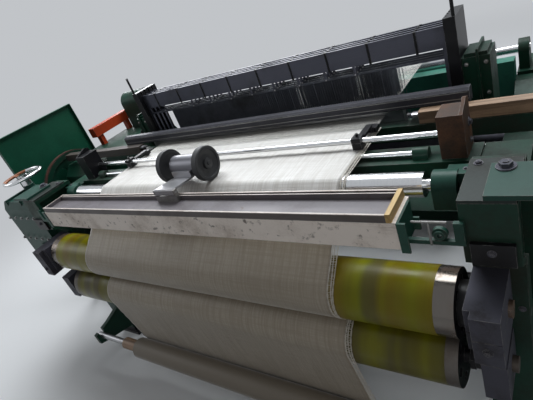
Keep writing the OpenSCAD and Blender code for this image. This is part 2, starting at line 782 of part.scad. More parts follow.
// Closed castings on the side frames' tops that carry the combs, each with a split rib round it
module harness_housings() {
    x = [comb_x + comb_w, comb_x + comb_w + 89];
    y = [comb_y[0] + 12, comb_y[1] - 12];
    top = heald_top - 110;
    rib_x = (x[0] + x[1]) / 2 + 7;
    color(green) both_sides() {
        box(x, y, [frame_top, top - 12]);
        box([x[0] + 8, x[1] - 8], [y[0] + 8, y[1] - 8], [top - 12, top]);
        box([rib_x - 4, rib_x + 4], [y[0] - 7, y[1] + 7], [frame_top + 22, top + 14]);
        box([x[1], inner + 70], y, [frame_top, frame_top + 18]);
    }
}

hook_pitch = 134;
hooks = 8;
rail_z = heald_top - rail_h;        // underside of a top rail
low_top = 2 * cloth_z - rail_z;     // top of a bottom rail
rider = 30;                         // from a rail to its rider rod
lift = 50;

// Heald frame number i with its rider rods, hooks, healds and lifting rods
module heald_frame(i) {
    y = frame_y[i];
    x_out = heald_w / 2;
    color(slate) {
        box([-x_out, x_out], [y - rail_t / 2, y + rail_t / 2], [rail_z, heald_top]);
        box([-x_out, x_out], [y - rail_t / 2, y + rail_t / 2], [low_top - rail_h, low_top]);
        both_sides() box([x_out - 26, x_out], [y - rail_t / 2, y + rail_t / 2], [low_top, rail_z]);
        for (z = [[rail_z - rider - 9, rail_z - rider], [low_top + rider, low_top + rider + 9]])
            box([-x_out + 26, x_out - 26], [y - 1.5, y + 1.5], z);
        for (k = [0 : hooks - 1]) let (x = (k - (hooks - 1) / 2) * hook_pitch) {
            box([x - 6, x + 6], [y - 3, y - 1.5], [rail_z - rider - 9, rail_z + 10]);
            box([x - 6, x + 6], [y - 3, y - 1.5], [low_top - 10, low_top + rider + 9]);
        }
        both_sides() bar_z(rod_r, rod_x, y, [lift + 320, low_top - rail_h]);
    }
    color(chrome) for (k = [1 + i : frames : warp_groups - 1])
        let (x = -cloth_w / 2 + k * group_pitch)
        box([x - wire_t / 2, x + wire_t / 2], [y - 1.2, y + 1.2], [low_top + rider + 9, rail_z - rider - 9]);
}

module heald_frame_1() {
    heald_frame(0);
}

module heald_frame_2() {
    heald_frame(1);
}

module heald_frame_3() {
    heald_frame(2);
}

module heald_frame_4() {
    heald_frame(3);
}

// Brackets with round tops on the side frames
module whip_roller_brackets() {
    color(green) both_sides() difference() {
        union() {
            box([inner + 8, inner + 48], [whip_y - 42, whip_y + 42], [rear_top, whip_z]);
            bar_x(42, [inner + 8, inner + 48], whip_y, whip_z);
            box([inner + 2, outer - 2], [whip_y - 70, whip_y + 70], [rear_top, rear_top + 14]);
        }
        bar_x(18 + run, [inner + 7, inner + 49], whip_y, whip_z);
    }
}

module whip_roller() {
    color(chrome) {
        bar_x(whip_r, [83 - inner, inner - 83], whip_y, whip_z);
        bar_x(18, [-inner - 52, inner + 52], whip_y, whip_z);
    }
}

beam_shaft = 30;
barrel_r = 75;
flange_x = cloth_w / 2 + 14;

module warp_beam_bearings() {
    color(green) both_sides() difference() {
        union() {
            bar_x(54, [inner - 44, inner], beam_y, beam_z);
            bar_x(70, [inner - 14, inner], beam_y, beam_z);
        }
        bar_x(beam_shaft + run, [inner - 45, inner + 1], beam_y, beam_z);
    }
}

// Barrel with two ribbed flanges and a through shaft
module warp_beam() {
    color("#6d6f74") {
        bar_x(barrel_r, [-flange_x, flange_x], beam_y, beam_z);
        bar_x(beam_shaft, [-outer + 2, outer - 2], beam_y, beam_z);
        both_sides() {
            bar_x(flange_r, [flange_x, flange_x + 10], beam_y, beam_z);
            difference() {
                bar_x(flange_r, [flange_x + 10, flange_x + 26], beam_y, beam_z);
                bar_x(flange_r - 14, [flange_x + 9, flange_x + 27], beam_y, beam_z);
            }
            bar_x(90, [flange_x + 10, flange_x + 60], beam_y, beam_z);
            for (a = [0 : 45 : 315]) translate([0, beam_y, beam_z]) rotate([a, 0, 0])
                box([flange_x + 10, flange_x + 26], [80, flange_r - 10], [-6, 6]);
        }
    }
}

// Yarn wound between the flanges
module warp_yarn() {
    color(thread) difference() {
        bar_x(yarn_d / 2, [-flange_x, flange_x], beam_y, beam_z);
        bar_x(barrel_r, [-flange_x - 1, flange_x + 1], beam_y, beam_z);
    }
}

// Closed gear casing beside a side frame, with a sloped front, a door rim and feet on the floor
module drive_unit() {
    difference() {
        plate(unit_x, [[unit_y[0], 60], [unit_y[1], 60], [unit_y[1], 760], [unit_y[1] - 90, unit_top],
            [unit_y[0] + 60, unit_top], [unit_y[0], unit_top - 60]]);
        window([unit_x[1] - 8, unit_x[1] + 1], [-40, 340], [140, 560], 40);
        window([unit_x[1] - 8, unit_x[1] + 1], [30, 300], [620, 860], 40);
    }
    box([outer, unit_x[0]], [-300, -170], [300, 560]);
    box([outer, unit_x[0]], [140, 330], [300, 560]);
    for (x = [unit_x[0] + 10, unit_x[1] - 70], y = [unit_y[0] + 10, unit_y[1] - 90])
        box([x, x + 60], [y, y + 80], [0, 60]);
}

// Round-topped casting over the cams that lift the heald frames
module shedding_case() {
    x = [unit_x[0] + 110, unit_x[0] + 310];
    y = [unit_y[1] - 160, unit_y[1] - 20];
    r = (y[1] - y[0]) / 2;
    top = unit_top + 250;
    box(x, y, [unit_top - 90, top - r]);
    bar_x(r, x, (y[0] + y[1]) / 2, top - r);
    for (end = [x[0] - 6, x[1] - 6]) bar_x(r - 18, [end, end + 12], (y[0] + y[1]) / 2, top - r);
}

module left_drive_unit() {
    color(green) mirror([1, 0, 0]) difference() {
        union() {
            drive_unit();
            shedding_case();
            bar_x(70, [unit_x[1], unit_x[1] + 8], flywheel_y, flywheel_z);
        }
        bar_x(25 + run, [unit_x[1] - 120, unit_x[1] + 9], flywheel_y, flywheel_z);
    }
}

module right_drive_unit() {
    color(green) drive_unit();
}

guard_x = flywheel_x + 34 + guard_gap + 3;
guard_y = [flywheel_y - 297, flywheel_y + 282];
guard_z = [560, 1268];

// Sheet guards at the loom's ends: a flat plate with folded edges on two legs, tied to the drive unit
module end_guards() {
    color("#3f7f5e") both_sides() {
        box([guard_x - 3, guard_x], guard_y, guard_z);
        for (y = [guard_y[0], guard_y[1] - 3]) box([guard_x - 28, guard_x - 3], [y, y + 3], guard_z);
        for (z = [guard_z[0], guard_z[1] - 3])
            box([guard_x - 28, guard_x - 3], [guard_y[0] + 3, guard_y[1] - 3], [z, z + 3]);
        for (y = [guard_y[0] + 3, guard_y[1] - 39]) {
            box([guard_x - 36, guard_x - 3], [y, y + 36], [0, guard_z[0]]);
            box([guard_x - 60, guard_x], [y - 3, y + 60], [0, 10]);
        }
        box([unit_x[1], guard_x - 3], [guard_y[1] - 33, guard_y[1] - 3], [guard_z[0] + 40, guard_z[0] + 80]);
    }
}

// Groove with sloped flanks for the belt, in a wheel of radius r
module belt_groove(x, r) {
    half = belt_w / 2 + seat;
    translate([x, 0, 0]) rotate([0, 90, 0]) rotate_extrude()
        polygon([[r - groove_depth, -half], [r + 1, -half - 3], [r + 1, half + 3],
            [r - groove_depth, half]]);
}

// Spoked wheel with a belt groove on its outer half and a flat brake rim on its inner half
module flywheel() {
    x = flywheel_x;
    color(green) mirror([1, 0, 0]) translate([0, flywheel_y, flywheel_z]) {
        difference() {
            bar_x(flywheel_r, [x - 26, x + 26], 0, 0);
            belt_groove(x + 12, flywheel_r);
            bar_x(flywheel_r - 30, [x - 27, x - 8], 0, 0);
            bar_x(flywheel_r - 30, [x + 8, x + 27], 0, 0);
            for (a = [0 : 60 : 300]) bar_x(48, [x - 9, x + 9], 140 * cos(a), 140 * sin(a));
        }
        bar_x(58, [x - 24, x + 26], 0, 0);
        bar_x(25, [unit_x[1] - 118, x + 34], 0, 0);
    }
}

band_x = [-flywheel_x - 2, -flywheel_x + 24];
band_r = flywheel_r + seat;
band_end = 150;                     // the strap ends this far below the axis

// Lined strap over the flywheel's brake rim, with its anchor bracket on the drive unit
module brake_band() {
    color("#5a3f33") translate([0, flywheel_y, flywheel_z]) {
        difference() {
            bar_x(band_r + 5, band_x, 0, 0);
            bar_x(band_r, [band_x[0] - 1, band_x[1] + 1], 0, 0);
            box([band_x[0] - 1, band_x[1] + 1], [-400, 400], [-400, -band_end]);
        }
        for (s = [-1, 1]) let (y = s * (sqrt(band_r * band_r - band_end * band_end) + 8 + seat))
            box([band_x[0], -unit_x[1]], [y - 8, y + 8], [-band_end - 12, -band_end]);
    }
}

belt_lift = seat + belt_h / 2 - groove_depth;
belt_wraps = [
    [[flywheel_y, flywheel_z], flywheel_r + belt_lift, 1],
    [[motor_y, motor_z], pulley_r + belt_lift, 1],
    [[flywheel_y, flywheel_z], flywheel_r + belt_lift, 1]];
belt_x = [-flywheel_x - 12 - belt_w / 2, -flywheel_x - 12 + belt_w / 2];

// Belt round the flywheel's groove and the motor pulley
module drive_belt() {
    h1 = heading(belt_wraps[0], belt_wraps[1]);
    h0 = heading(belt_wraps[1], belt_wraps[2]);
    path = led_path([belt_wraps[0], belt_wraps[1]], h0, h0 + 360);
    color(black) difference() {
        plate(belt_x, [for (p = path) p[0] + belt_h / 2 * [sin(p[1]), -cos(p[1])]]);
        plate([belt_x[0] - 1, belt_x[1] + 1], [for (p = path) p[0] - belt_h / 2 * [sin(p[1]), -cos(p[1])]]);
    }
}

motor_x = [-unit_x[1] - 14, -unit_x[1] + 250];

// Ribbed motor on the front of the left drive unit
module motor() {
    color("#3c5a6a") difference() {
        union() {
            bar_x(84, motor_x, motor_y, motor_z);
            for (a = [0 : 15 : 345]) translate([0, motor_y, motor_z]) rotate([a, 0, 0])
                box([motor_x[0] + 20, motor_x[1] - 30], [80, 95], [-2, 2]);
            bar_x(98, [motor_x[0], motor_x[0] + 16], motor_y, motor_z);
            box([motor_x[0] + 40, motor_x[1] - 60], [motor_y, unit_y[0]], [motor_z - 60, motor_z - 36]);
            box([motor_x[0] + 40, motor_x[1] - 60], [motor_y, unit_y[0]], [motor_z + 36, motor_z + 60]);
        }
        bar_x(14 + run, [motor_x[0] - 1, motor_x[0] + 60], motor_y, motor_z);
    }
}

module motor_pulley() {
    color(steel) translate([0, motor_y, motor_z]) {
        difference() {
            bar_x(pulley_r, [belt_x[0] - 8, belt_x[1] + 8], 0, 0);
            belt_groove(-flywheel_x - 12, pulley_r);
        }
        bar_x(14, [belt_x[0] - 12, motor_x[0] + 58], 0, 0);
    }
}

// Orange bar along the top of the left drive unit
module top_bar() {
    color("#b8502f") mirror([1, 0, 0]) {
        box([unit_x[1] - 70, unit_x[1] - 10], [-30, 300], [unit_top + 70, unit_top + 134]);
        for (y = [0, 250]) box([unit_x[1] - 60, unit_x[1] - 20], [y, y + 30], [unit_top, unit_top + 70]);
    }
}

gearbox_x = [outer, outer + 339];
gearbox_top = 985;
gearbox_y = [-810, -600];
wheel_x = gearbox_x[1] - 95;
hand_y = -658;
hand_z = 1075;

// Take-up gear casting at the left front, with a hole for the hand wheel's spindle
module take_up_gearbox() {
    color(teal) mirror([1, 0, 0]) difference() {
        union() {
            plate(gearbox_x, [[gearbox_y[0], 640], [gearbox_y[1], 640], [gearbox_y[1], gearbox_top - 30],
                [gearbox_y[1] - 30, gearbox_top], [gearbox_y[0] + 20, gearbox_top],
                [gearbox_y[0], gearbox_top - 40]]);
            bar_z(30, wheel_x, hand_y, [gearbox_top - 20, gearbox_top + 36]);
            box([gearbox_x[0] + 60, gearbox_x[0] + 160], [gearbox_y[0] - 10, gearbox_y[1]], [660, 720]);
            for (x = [gearbox_x[0] + 40, gearbox_x[0] + 120, gearbox_x[1] - 52])
                box([x, x + 12], [gearbox_y[0] + 10, gearbox_y[1] - 32],
                    [gearbox_top - 20, gearbox_top + 12]);
        }
        bar_z(12 + run, wheel_x, hand_y, [gearbox_top - 60, gearbox_top + 40]);
    }
}

module hand_wheel() {
    color(chrome) mirror([1, 0, 0]) translate([wheel_x, hand_y, 0]) {
        translate([0, 0, hand_z]) rotate_extrude() translate([103, 0]) circle(r = 9, $fn = 24);
        bar_z(12, 0, 0, [gearbox_top - 58, hand_z]);
        bar_z(26, 0, 0, [gearbox_top + 36 + seat, hand_z + 8]);
        for (a = [0 : 120 : 240]) rotate([0, 0, a]) box([20, 98], [-8, 8], [hand_z - 5, hand_z + 3]);
    }
}

arm_x = [counter_x - 50, counter_x + 50];
pivot_y = -breast_y + tray_d - 24;
tray_floor = beam_bottom + breast_h + 5;
pivot_z = tray_floor + 40;

// Foot plate in the tray with two ears for the counter's arm
module counter_bracket() {
    color(steel) {
        box([arm_x[0] - 8, arm_x[1] + 8], [pivot_y - 12, pivot_y + 5], [tray_floor, tray_floor + 4]);
        box([arm_x[0] - 8, arm_x[1] + 8], [pivot_y - 12, pivot_y - 9], [tray_floor, pivot_z - 14]);
        for (x = [[arm_x[0] - 8, arm_x[0] - seat], [arm_x[1] + seat, arm_x[1] + 8]])
            difference() {
                box(x, [pivot_y - 12, pivot_y + 5], [tray_floor, pivot_z + 10]);
                bar_x(4 + run, [x[0] - 1, x[1] + 1], pivot_y - 3, pivot_z);
            }
    }
}

// Bent flat arm with the counter barrel between its ears
module counter_arm() {
    z = counter_z - 34;
    color("#8f9094") difference() {
        union() {
            plate(arm_x, [[pivot_y - 12, pivot_z - 10], [pivot_y - 8, pivot_z - 10],
                [pivot_y - 8, pivot_z + 3], [counter_y - 44, z], [counter_y - 44, z + 6],
                [pivot_y - 6, pivot_z + 12],
                [pivot_y - 12, pivot_z + 9]]);
            bar_x(8, arm_x, pivot_y - 3, pivot_z);
            bar_x(40, [counter_x - 62, counter_x + 62], counter_y, counter_z);
            box([counter_x - 50, counter_x + 50], [counter_y - 50, counter_y], [z, z + 30]);
            bar_x(4, [arm_x[0] - 8, arm_x[1] + 8], pivot_y - 3, pivot_z);
        }
        bar_x(7 + run, [counter_x - 63, counter_x + 63], counter_y, counter_z);
    }
}

// Two dished measuring wheels on one axle
module counter_wheels() {
    color(black) translate([0, counter_y, counter_z]) {
        bar_x(7, [counter_x - wheel_gap / 2, counter_x + wheel_gap / 2], 0, 0);
        for (s = [-1, 1]) translate([counter_x + s * wheel_gap / 2, 0, 0]) rotate([0, 90 * s, 0])
            rotate_extrude() polygon([[0, -10], [wheel_r - 16, -10], [wheel_r - 14, -13], [wheel_r, -13],
                [wheel_r, 9], [wheel_r - 3, 12], [wheel_r - 12, 12], [wheel_r - 15, 6], [34, 0],
                [22, 2], [20, 12], [9, 14], [8, 18], [0, 18]]);
    }
}

left_side_frame();
right_side_frame();
side_cover_plates();
machine_feet();
front_cross_beam();
rear_cross_beam();
harness_guide_beam();
frame_bolts();
breast_beam();
breast_beam_brackets();
tool_tray();
tray_end_board();
tee_key();
breast_roller_bearings();
breast_roller();
guide_bar();
temple_bar();
temple_bar_brackets();
temples();
take_up_bearing_blocks();
upper_take_up_roller();
lower_take_up_roller();
press_roller();
cloth_roll_brackets();
cloth_roll();
cloth();
warp();
rocking_shaft_bearings();
rocking_shaft();
sley_beam();
reed();
reed_cap();
rapier_guides();
left_rapier();
right_rapier();
heald_guides();
harness_housings();
heald_frame_1();
heald_frame_2();
heald_frame_3();
heald_frame_4();
whip_roller_brackets();
whip_roller();
warp_beam_bearings();
warp_beam();
warp_yarn();
left_drive_unit();
right_drive_unit();
end_guards();
flywheel();
brake_band();
drive_belt();
motor();
motor_pulley();
top_bar();
take_up_gearbox();
hand_wheel();
counter_bracket();
counter_arm();
counter_wheels();
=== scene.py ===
"""Looks of a flexible-rapier power loom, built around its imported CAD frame.

Each sub-assembly of the loom is a class that reads its places from the frame, builds its own meshes and
dresses the CAD nodes that it holds. Lengths are in metres; X runs to the weaver's right, Y to the back.
"""

from __future__ import annotations

import json
import logging
import math
import random
from dataclasses import dataclass, field
from enum import Enum
from typing import Callable, Sequence

import bpy
import numpy as np
from mathutils import Matrix, Vector

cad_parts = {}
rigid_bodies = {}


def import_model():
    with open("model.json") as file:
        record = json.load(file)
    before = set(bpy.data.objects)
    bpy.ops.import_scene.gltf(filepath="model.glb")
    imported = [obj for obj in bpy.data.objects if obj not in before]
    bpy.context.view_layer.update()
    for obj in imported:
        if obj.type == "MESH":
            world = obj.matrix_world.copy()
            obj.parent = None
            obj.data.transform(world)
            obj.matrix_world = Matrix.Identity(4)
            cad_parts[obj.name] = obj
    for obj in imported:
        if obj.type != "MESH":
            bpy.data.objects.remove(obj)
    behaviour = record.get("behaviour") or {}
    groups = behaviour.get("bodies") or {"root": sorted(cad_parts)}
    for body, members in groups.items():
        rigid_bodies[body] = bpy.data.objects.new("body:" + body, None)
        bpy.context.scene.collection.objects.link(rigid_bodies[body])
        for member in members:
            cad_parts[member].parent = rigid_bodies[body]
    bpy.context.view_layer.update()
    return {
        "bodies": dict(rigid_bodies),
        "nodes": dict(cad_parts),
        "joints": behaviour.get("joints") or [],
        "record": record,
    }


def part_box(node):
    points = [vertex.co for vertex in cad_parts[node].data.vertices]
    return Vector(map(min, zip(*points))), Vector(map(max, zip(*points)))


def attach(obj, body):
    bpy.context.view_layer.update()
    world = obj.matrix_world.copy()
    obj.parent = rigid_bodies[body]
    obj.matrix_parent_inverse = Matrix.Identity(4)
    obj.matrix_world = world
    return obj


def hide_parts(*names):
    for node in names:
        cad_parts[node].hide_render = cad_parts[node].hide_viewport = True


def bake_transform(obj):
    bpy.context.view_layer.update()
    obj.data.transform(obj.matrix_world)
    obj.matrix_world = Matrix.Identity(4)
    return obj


LOG = logging.getLogger("loom")
Colour = tuple[float, float, float]
Point = tuple[float, float, float]
Socket = bpy.types.NodeSocket
Number = float | Socket
Tint = Colour | Socket
Value = bool | float | str | tuple | bpy.types.ID | Socket
Inputs = dict[str | int, Value]
Spot = tuple[Point, Point, float]
SEED = 11
# Inputs of a tree that sets copies in a row along X
ROW: dict[str, float | int] = {"Count": 10, "First": 0.0, "Step": 0.01}


class Axis(Enum):
    """A main direction, used for grain, streaks and lathed pieces."""

    X = 0
    Y = 1
    Z = 2

    def stretch(self, along: float, across: float) -> Point:
        """Scale of a texture that is long along this axis."""
        return tuple(along if i == self.value else across for i in range(3))


# Nodes


class Graph:
    """Adds and links the nodes of one shader or geometry tree."""

    def __init__(self, tree: bpy.types.NodeTree) -> None:
        """Wraps a material's, a group's or a modifier's node tree."""
        self.tree = tree

    def add(self, kind: str, inputs: Inputs | None = None, **settings: Value) -> bpy.types.Node:
        """Adds a node, sets its properties and fills its inputs.

        Args:
            kind: the node's type name.
            inputs: values or output sockets by input name or number.
            settings: properties of the node.

        Returns:
            The new node.
        """
        node = self.tree.nodes.new(kind)
        for name, value in settings.items():
            setattr(node, name, value)
        for name, value in (inputs or {}).items():
            if isinstance(value, Socket):
                self.tree.links.new(value, node.inputs[name])
            else:
                node.inputs[name].default_value = value
        return node

    def out(self, kind: str, inputs: Inputs | None = None, **settings: Value) -> Socket:
        """Adds a node like add does and returns its first output."""
        return self.add(kind, inputs, **settings).outputs[0]

    def math(self, operation: str, a: Number, b: Number = 0.0, clamp: bool = False) -> Socket:
        """A Math node's result."""
        return self.out("ShaderNodeMath", {0: a, 1: b}, operation=operation, use_clamp=clamp)

    def plus(self, a: Number, b: Number) -> Socket:
        """The sum of two numbers."""
        return self.math("ADD", a, b)

    def minus(self, a: Number, b: Number) -> Socket:
        """The first number less the second."""
        return self.math("SUBTRACT", a, b)

    def times(self, a: Number, b: Number) -> Socket:
        """The product of two numbers."""
        return self.math("MULTIPLY", a, b)

    def mix(self, factor: Number, a: Tint, b: Tint, kind: str = "MIX") -> Socket:
        """Colour a where factor is 0 and colour b, or their blend of a kind, where it is 1.

        Args:
            factor: share of the second colour.
            a: the first colour.
            b: the second colour.
            kind: how the second colour is laid over the first.

        Returns:
            The mixed colour.
        """
        first, second = ((*c, 1.0) if isinstance(c, tuple) and len(c) == 3 else c for c in (a, b))
        ins = {0: factor, 6: first, 7: second}
        return self.add("ShaderNodeMix", ins, data_type="RGBA", blend_type=kind).outputs[2]

    def blend(self, factor: Number, a: Number, b: Number) -> Socket:
        """Number a where factor is 0 and number b where it is 1."""
        return self.out("ShaderNodeMix", {0: factor, 2: a, 3: b}, data_type="FLOAT")

    def step(self, value: Number, low: float, high: float) -> Socket:
        """0 below low, 1 above high and smooth between them."""
        return self.out("ShaderNodeMapRange", {0: value, 1: low, 2: high}, interpolation_type="SMOOTHSTEP")

    def noise(self, vector: Socket, scale: Number, detail: float = 3.0, rough: float = 0.5) -> Socket:
        """A noise texture's value."""
        ins = {"Vector": vector, "Scale": scale, "Detail": detail, "Roughness": rough}
        return self.add("ShaderNodeTexNoise", ins).outputs["Fac"]

    def place(self, kind: str = "Object") -> Socket:
        """The piece's own coordinates, in metres."""
        return self.add("ShaderNodeTexCoord").outputs[kind]

    def scaled(self, vector: Socket, scale: Point) -> Socket:
        """A vector multiplied along each axis."""
        return self.out("ShaderNodeMapping", {"Vector": vector, "Scale": scale})

    def point(self, x: Number = 0.0, y: Number = 0.0, z: Number = 0.0) -> Socket:
        """A vector of three numbers."""
        return self.out("ShaderNodeCombineXYZ", {0: x, 1: y, 2: z})

    def parts(self, vector: Socket) -> Sequence[Socket]:
        """The three numbers of a vector."""
        return self.add("ShaderNodeSeparateXYZ", {0: vector}).outputs

    def bump(self, height: Socket, distance: float, strength: float = 1.0) -> Socket:
        """A normal from a height in units of distance, in metres."""
        return self.out("ShaderNodeBump", {"Height": height, "Distance": distance, "Strength": strength})

    def shared(self, name: str, vector: Socket, **inputs: float) -> Sequence[Socket]:
        """The outputs of a shared shader group on a vector, with _ for a space in an input's name."""
        ins = {"Vector": vector, **{key.replace("_", " "): value for key, value in inputs.items()}}
        return self.add("ShaderNodeGroup", ins, node_tree=ShaderGroups.get(name)).outputs

    def attribute(self, name: str, kind: str) -> Socket:
        """A named attribute of the host mesh."""
        return self.out("GeometryNodeInputNamedAttribute", {"Name": name}, data_type=kind)

    def join(self, parts: Sequence[Socket]) -> Socket:
        """Several geometries as one.

        Args:
            parts: the geometries.

        Returns:
            One geometry.
        """
        node = self.add("GeometryNodeJoinGeometry")
        for part in parts:
            self.tree.links.new(part, node.inputs[0])
        return node.outputs[0]

    def moved(self, geometry: Socket, place: Point | Socket, **more: Value) -> Socket:
        """A geometry that is moved, and turned or scaled where more says so."""
        return self.out("GeometryNodeTransform", {"Geometry": geometry, "Translation": place, **more})

    def circle(self, sides: Number, radius: float) -> Socket:
        """A round curve."""
        return self.out("GeometryNodeCurvePrimitiveCircle", {"Resolution": sides, "Radius": radius})

    def sweep(self, curve: Socket, sides: Number, width: Number, height: Number) -> Socket:
        """A closed tube with an oval section along a curve.

        Args:
            curve: the middle line.
            sides: faces round the tube.
            width: the section's width.
            height: the section's height.

        Returns:
            The tube.
        """
        ins = {"Geometry": self.circle(sides, 0.5), "Scale": self.point(width, height, 1.0)}
        ins = {"Curve": curve, "Profile Curve": self.out("GeometryNodeTransform", ins), "Fill Caps": True}
        return self.out("GeometryNodeCurveToMesh", ins)

    def copies(self, points: Socket, thing: Socket, **more: Value) -> Socket:
        """A copy of a geometry on each point, turned and scaled as more says."""
        return self.out("GeometryNodeInstanceOnPoints", {"Points": points, "Instance": thing, **more})

    def chance(self, low: float, high: float, seed: Number) -> Socket:
        """A random number for each point."""
        ins = {2: low, 3: high, "Seed": seed}
        return self.add("FunctionNodeRandomValue", ins, data_type="FLOAT").outputs[1]


class ShaderGroups:
    """Shader node groups that several finishes share, each built once."""

    made: dict[str, bpy.types.NodeTree] = {}

    @classmethod
    def get(cls, name: str) -> bpy.types.NodeTree:
        """A group by its method's name, built when first asked for.

        Args:
            name: the method's name.

        Returns:
            The group.
        """
        if name not in cls.made:
            cls.made[name] = getattr(cls, name)()
        return cls.made[name]

    @staticmethod
    def _start(name: str, **inputs: float) -> tuple[Graph, Sequence[Socket], Socket]:
        """An empty group that works on a vector.

        Args:
            name: the group's name.
            inputs: default values of its number inputs, with _ for a space.

        Returns:
            The group's graph, the outputs of its input node and its vector.
        """
        tree = bpy.data.node_groups.new(name, "ShaderNodeTree")
        tree.interface.new_socket("Vector", in_out="INPUT", socket_type="NodeSocketVector")
        for key, value in inputs.items():
            key = key.replace("_", " ")
            socket = tree.interface.new_socket(key, in_out="INPUT", socket_type="NodeSocketFloat")
            socket.default_value = value
        graph = Graph(tree)
        ins = graph.add("NodeGroupInput").outputs
        return graph, ins, ins["Vector"]

    @staticmethod
    def _end(graph: Graph, **outputs: Socket) -> bpy.types.NodeTree:
        """Ends a group in outputs with these names.

        Args:
            graph: the group's graph.
            outputs: the number that each output gives.

        Returns:
            The group.
        """
        for key in outputs:
            graph.tree.interface.new_socket(key, in_out="OUTPUT", socket_type="NodeSocketFloat")
        graph.add("NodeGroupOutput", outputs)
        return graph.tree

    @classmethod
    def edge_wear(cls) -> bpy.types.NodeTree:
        """Mask of edges where paint or plating has rubbed off, broken up by noise.

        Returns:
            The group.
        """
        g, ins, at = cls._start("edge_wear", Radius=0.002, Scale=60.0, Amount=0.5)
        round_normal = g.out("ShaderNodeBevel", {"Radius": ins["Radius"]}, samples=6)
        flat = g.add("ShaderNodeNewGeometry").outputs["True Normal"]
        dot = g.add("ShaderNodeVectorMath", {0: round_normal, 1: flat}, operation="DOT_PRODUCT")
        edge = g.step(g.minus(1.0, dot.outputs["Value"]), 0.01, 0.12)
        amount = g.plus(g.noise(at, ins["Scale"], 4.0, 0.6), g.minus(ins["Amount"], 0.5))
        return cls._end(g, Mask=g.times(edge, g.step(amount, 0.42, 0.62)))

    @classmethod
    def grime(cls) -> bpy.types.NodeTree:
        """Mask of settled dirt: broad patches with fine dust specks in them.

        Returns:
            The group.
        """
        g, ins, at = cls._start("grime", Scale=4.0, Amount=0.5)
        broad = g.noise(at, ins["Scale"], 5.0, 0.62)
        fine = g.noise(at, g.times(ins["Scale"], 23.0), 3.0, 0.7)
        both = g.plus(g.times(broad, 0.8), g.times(fine, 0.2))
        shifted = g.plus(both, g.minus(ins["Amount"], 0.5))
        return cls._end(g, Mask=g.step(shifted, 0.42, 0.72), Tone=both)

    @classmethod
    def scratches(cls) -> bpy.types.NodeTree:
        """Fine lines that run along the vector's compressed axis.

        Returns:
            The group.
        """
        g, ins, at = cls._start("scratches", Scale=90.0, Amount=0.5)
        line = g.noise(at, ins["Scale"], 2.0, 0.8)
        gaps = g.noise(at, g.times(ins["Scale"], 0.06), 2.0)
        height = g.times(line, g.step(gaps, 0.35, 0.65))
        shifted = g.plus(height, g.minus(ins["Amount"], 0.5))
        return cls._end(g, Mask=g.step(shifted, 0.4, 0.6), Height=line)

    @classmethod
    def weave(cls) -> bpy.types.NodeTree:
        """Plain weave from a vector in metres: x counts the warp, y the weft.

        Returns:
            The group.
        """
        g, ins, at = cls._start("weave", Warp_pitch=0.0012, Weft_pitch=0.0014)
        x, y, _ = g.parts(at)
        u, v = g.math("DIVIDE", x, ins["Warp pitch"]), g.math("DIVIDE", y, ins["Weft pitch"])
        over = g.math("MODULO", g.plus(g.math("FLOOR", u), g.math("FLOOR", v)), 2.0)
        over = g.math("ABSOLUTE", over)
        hump_u, hump_v = (g.math("SINE", g.times(g.math("FRACT", turn), math.pi)) for turn in (u, v))
        warp = g.times(g.math("POWER", hump_u, 0.6), g.plus(0.45, g.times(hump_v, 0.55)))
        weft = g.times(g.math("POWER", hump_v, 0.6), g.plus(0.45, g.times(hump_u, 0.55)))
        gap = g.times(g.step(hump_u, 0.35, 0.0), g.step(hump_v, 0.35, 0.0))
        return cls._end(g, Height=g.blend(over, warp, weft), Gap=gap)


# Finishes


@dataclass(frozen=True)
class Finish:
    """What every finish has: its name and its main colour, in linear values."""

    name: str
    colour: Colour

    def material(self) -> bpy.types.Material:
        """The finish's material, built once, under a name that no material of the frame has.

        Returns:
            The material.
        """
        name = f"{self.name}_finish"
        found = bpy.data.materials.get(name)
        if found:
            return found
        material = bpy.data.materials.new(name)
        material.use_nodes = True
        material.diffuse_color = (*self.colour, 1.0)
        graph = Graph(material.node_tree)
        shader = material.node_tree.nodes["Principled BSDF"]
        for key, value in self.surface(graph).items():
            target = shader.inputs[key.replace("_", " ")]
            if isinstance(value, Socket):
                graph.tree.links.new(value, target)
            else:
                target.default_value = value
        return material

    def surface(self, g: Graph) -> dict[str, Number]:
        """Each kind of finish gives the shader's inputs by name, with _ for a space."""
        raise NotImplementedError


@dataclass(frozen=True)
class Paint(Finish):
    """Enamel on iron or steel: patchy, grimy, chipped to dark metal along its edges."""

    grime_colour: Colour = (0.02, 0.016, 0.012)
    bare_colour: Colour = (0.16, 0.15, 0.14)
    roughness: float = 0.42
    grime: float = 0.45
    wear: float = 0.5
    variation: float = 0.35
    cast: float = 0.3

    def surface(self, g: Graph) -> dict[str, Number]:
        """The enamel\'s shader inputs.

        Args:
            g: the material's graph.

        Returns:
            Values and sockets by input name.
        """
        at = g.place()
        dirt = g.shared("grime", at, Scale=3.5, Amount=self.grime)
        worn = g.shared("edge_wear", at, Radius=0.0025, Scale=45.0, Amount=self.wear)
        shade = tuple(c * (1 - self.variation) for c in self.colour)
        base = g.mix(g.step(dirt["Tone"], 0.35, 0.65), self.colour, shade)
        base = g.mix(g.times(dirt["Mask"], 0.75), base, self.grime_colour)
        chips = g.step(g.noise(at, 38.0, 5.0, 0.65), 0.71, 0.74)
        bare = g.math("MAXIMUM", worn[0], g.times(chips, self.wear))
        base = g.mix(bare, base, self.bare_colour)
        rough = g.blend(dirt["Mask"], self.roughness, 0.75)
        orange_peel = g.noise(at, 260.0, 2.0)
        sand = g.noise(at, 45.0, 4.0, 0.6)
        height = g.plus(g.times(sand, self.cast), g.times(orange_peel, 0.12))
        normal = g.bump(g.minus(height, g.times(bare, 0.35)), 0.0007, 0.7)
        return dict(Base_Color=base, Roughness=rough, Normal=normal, Specular_IOR_Level=0.2)


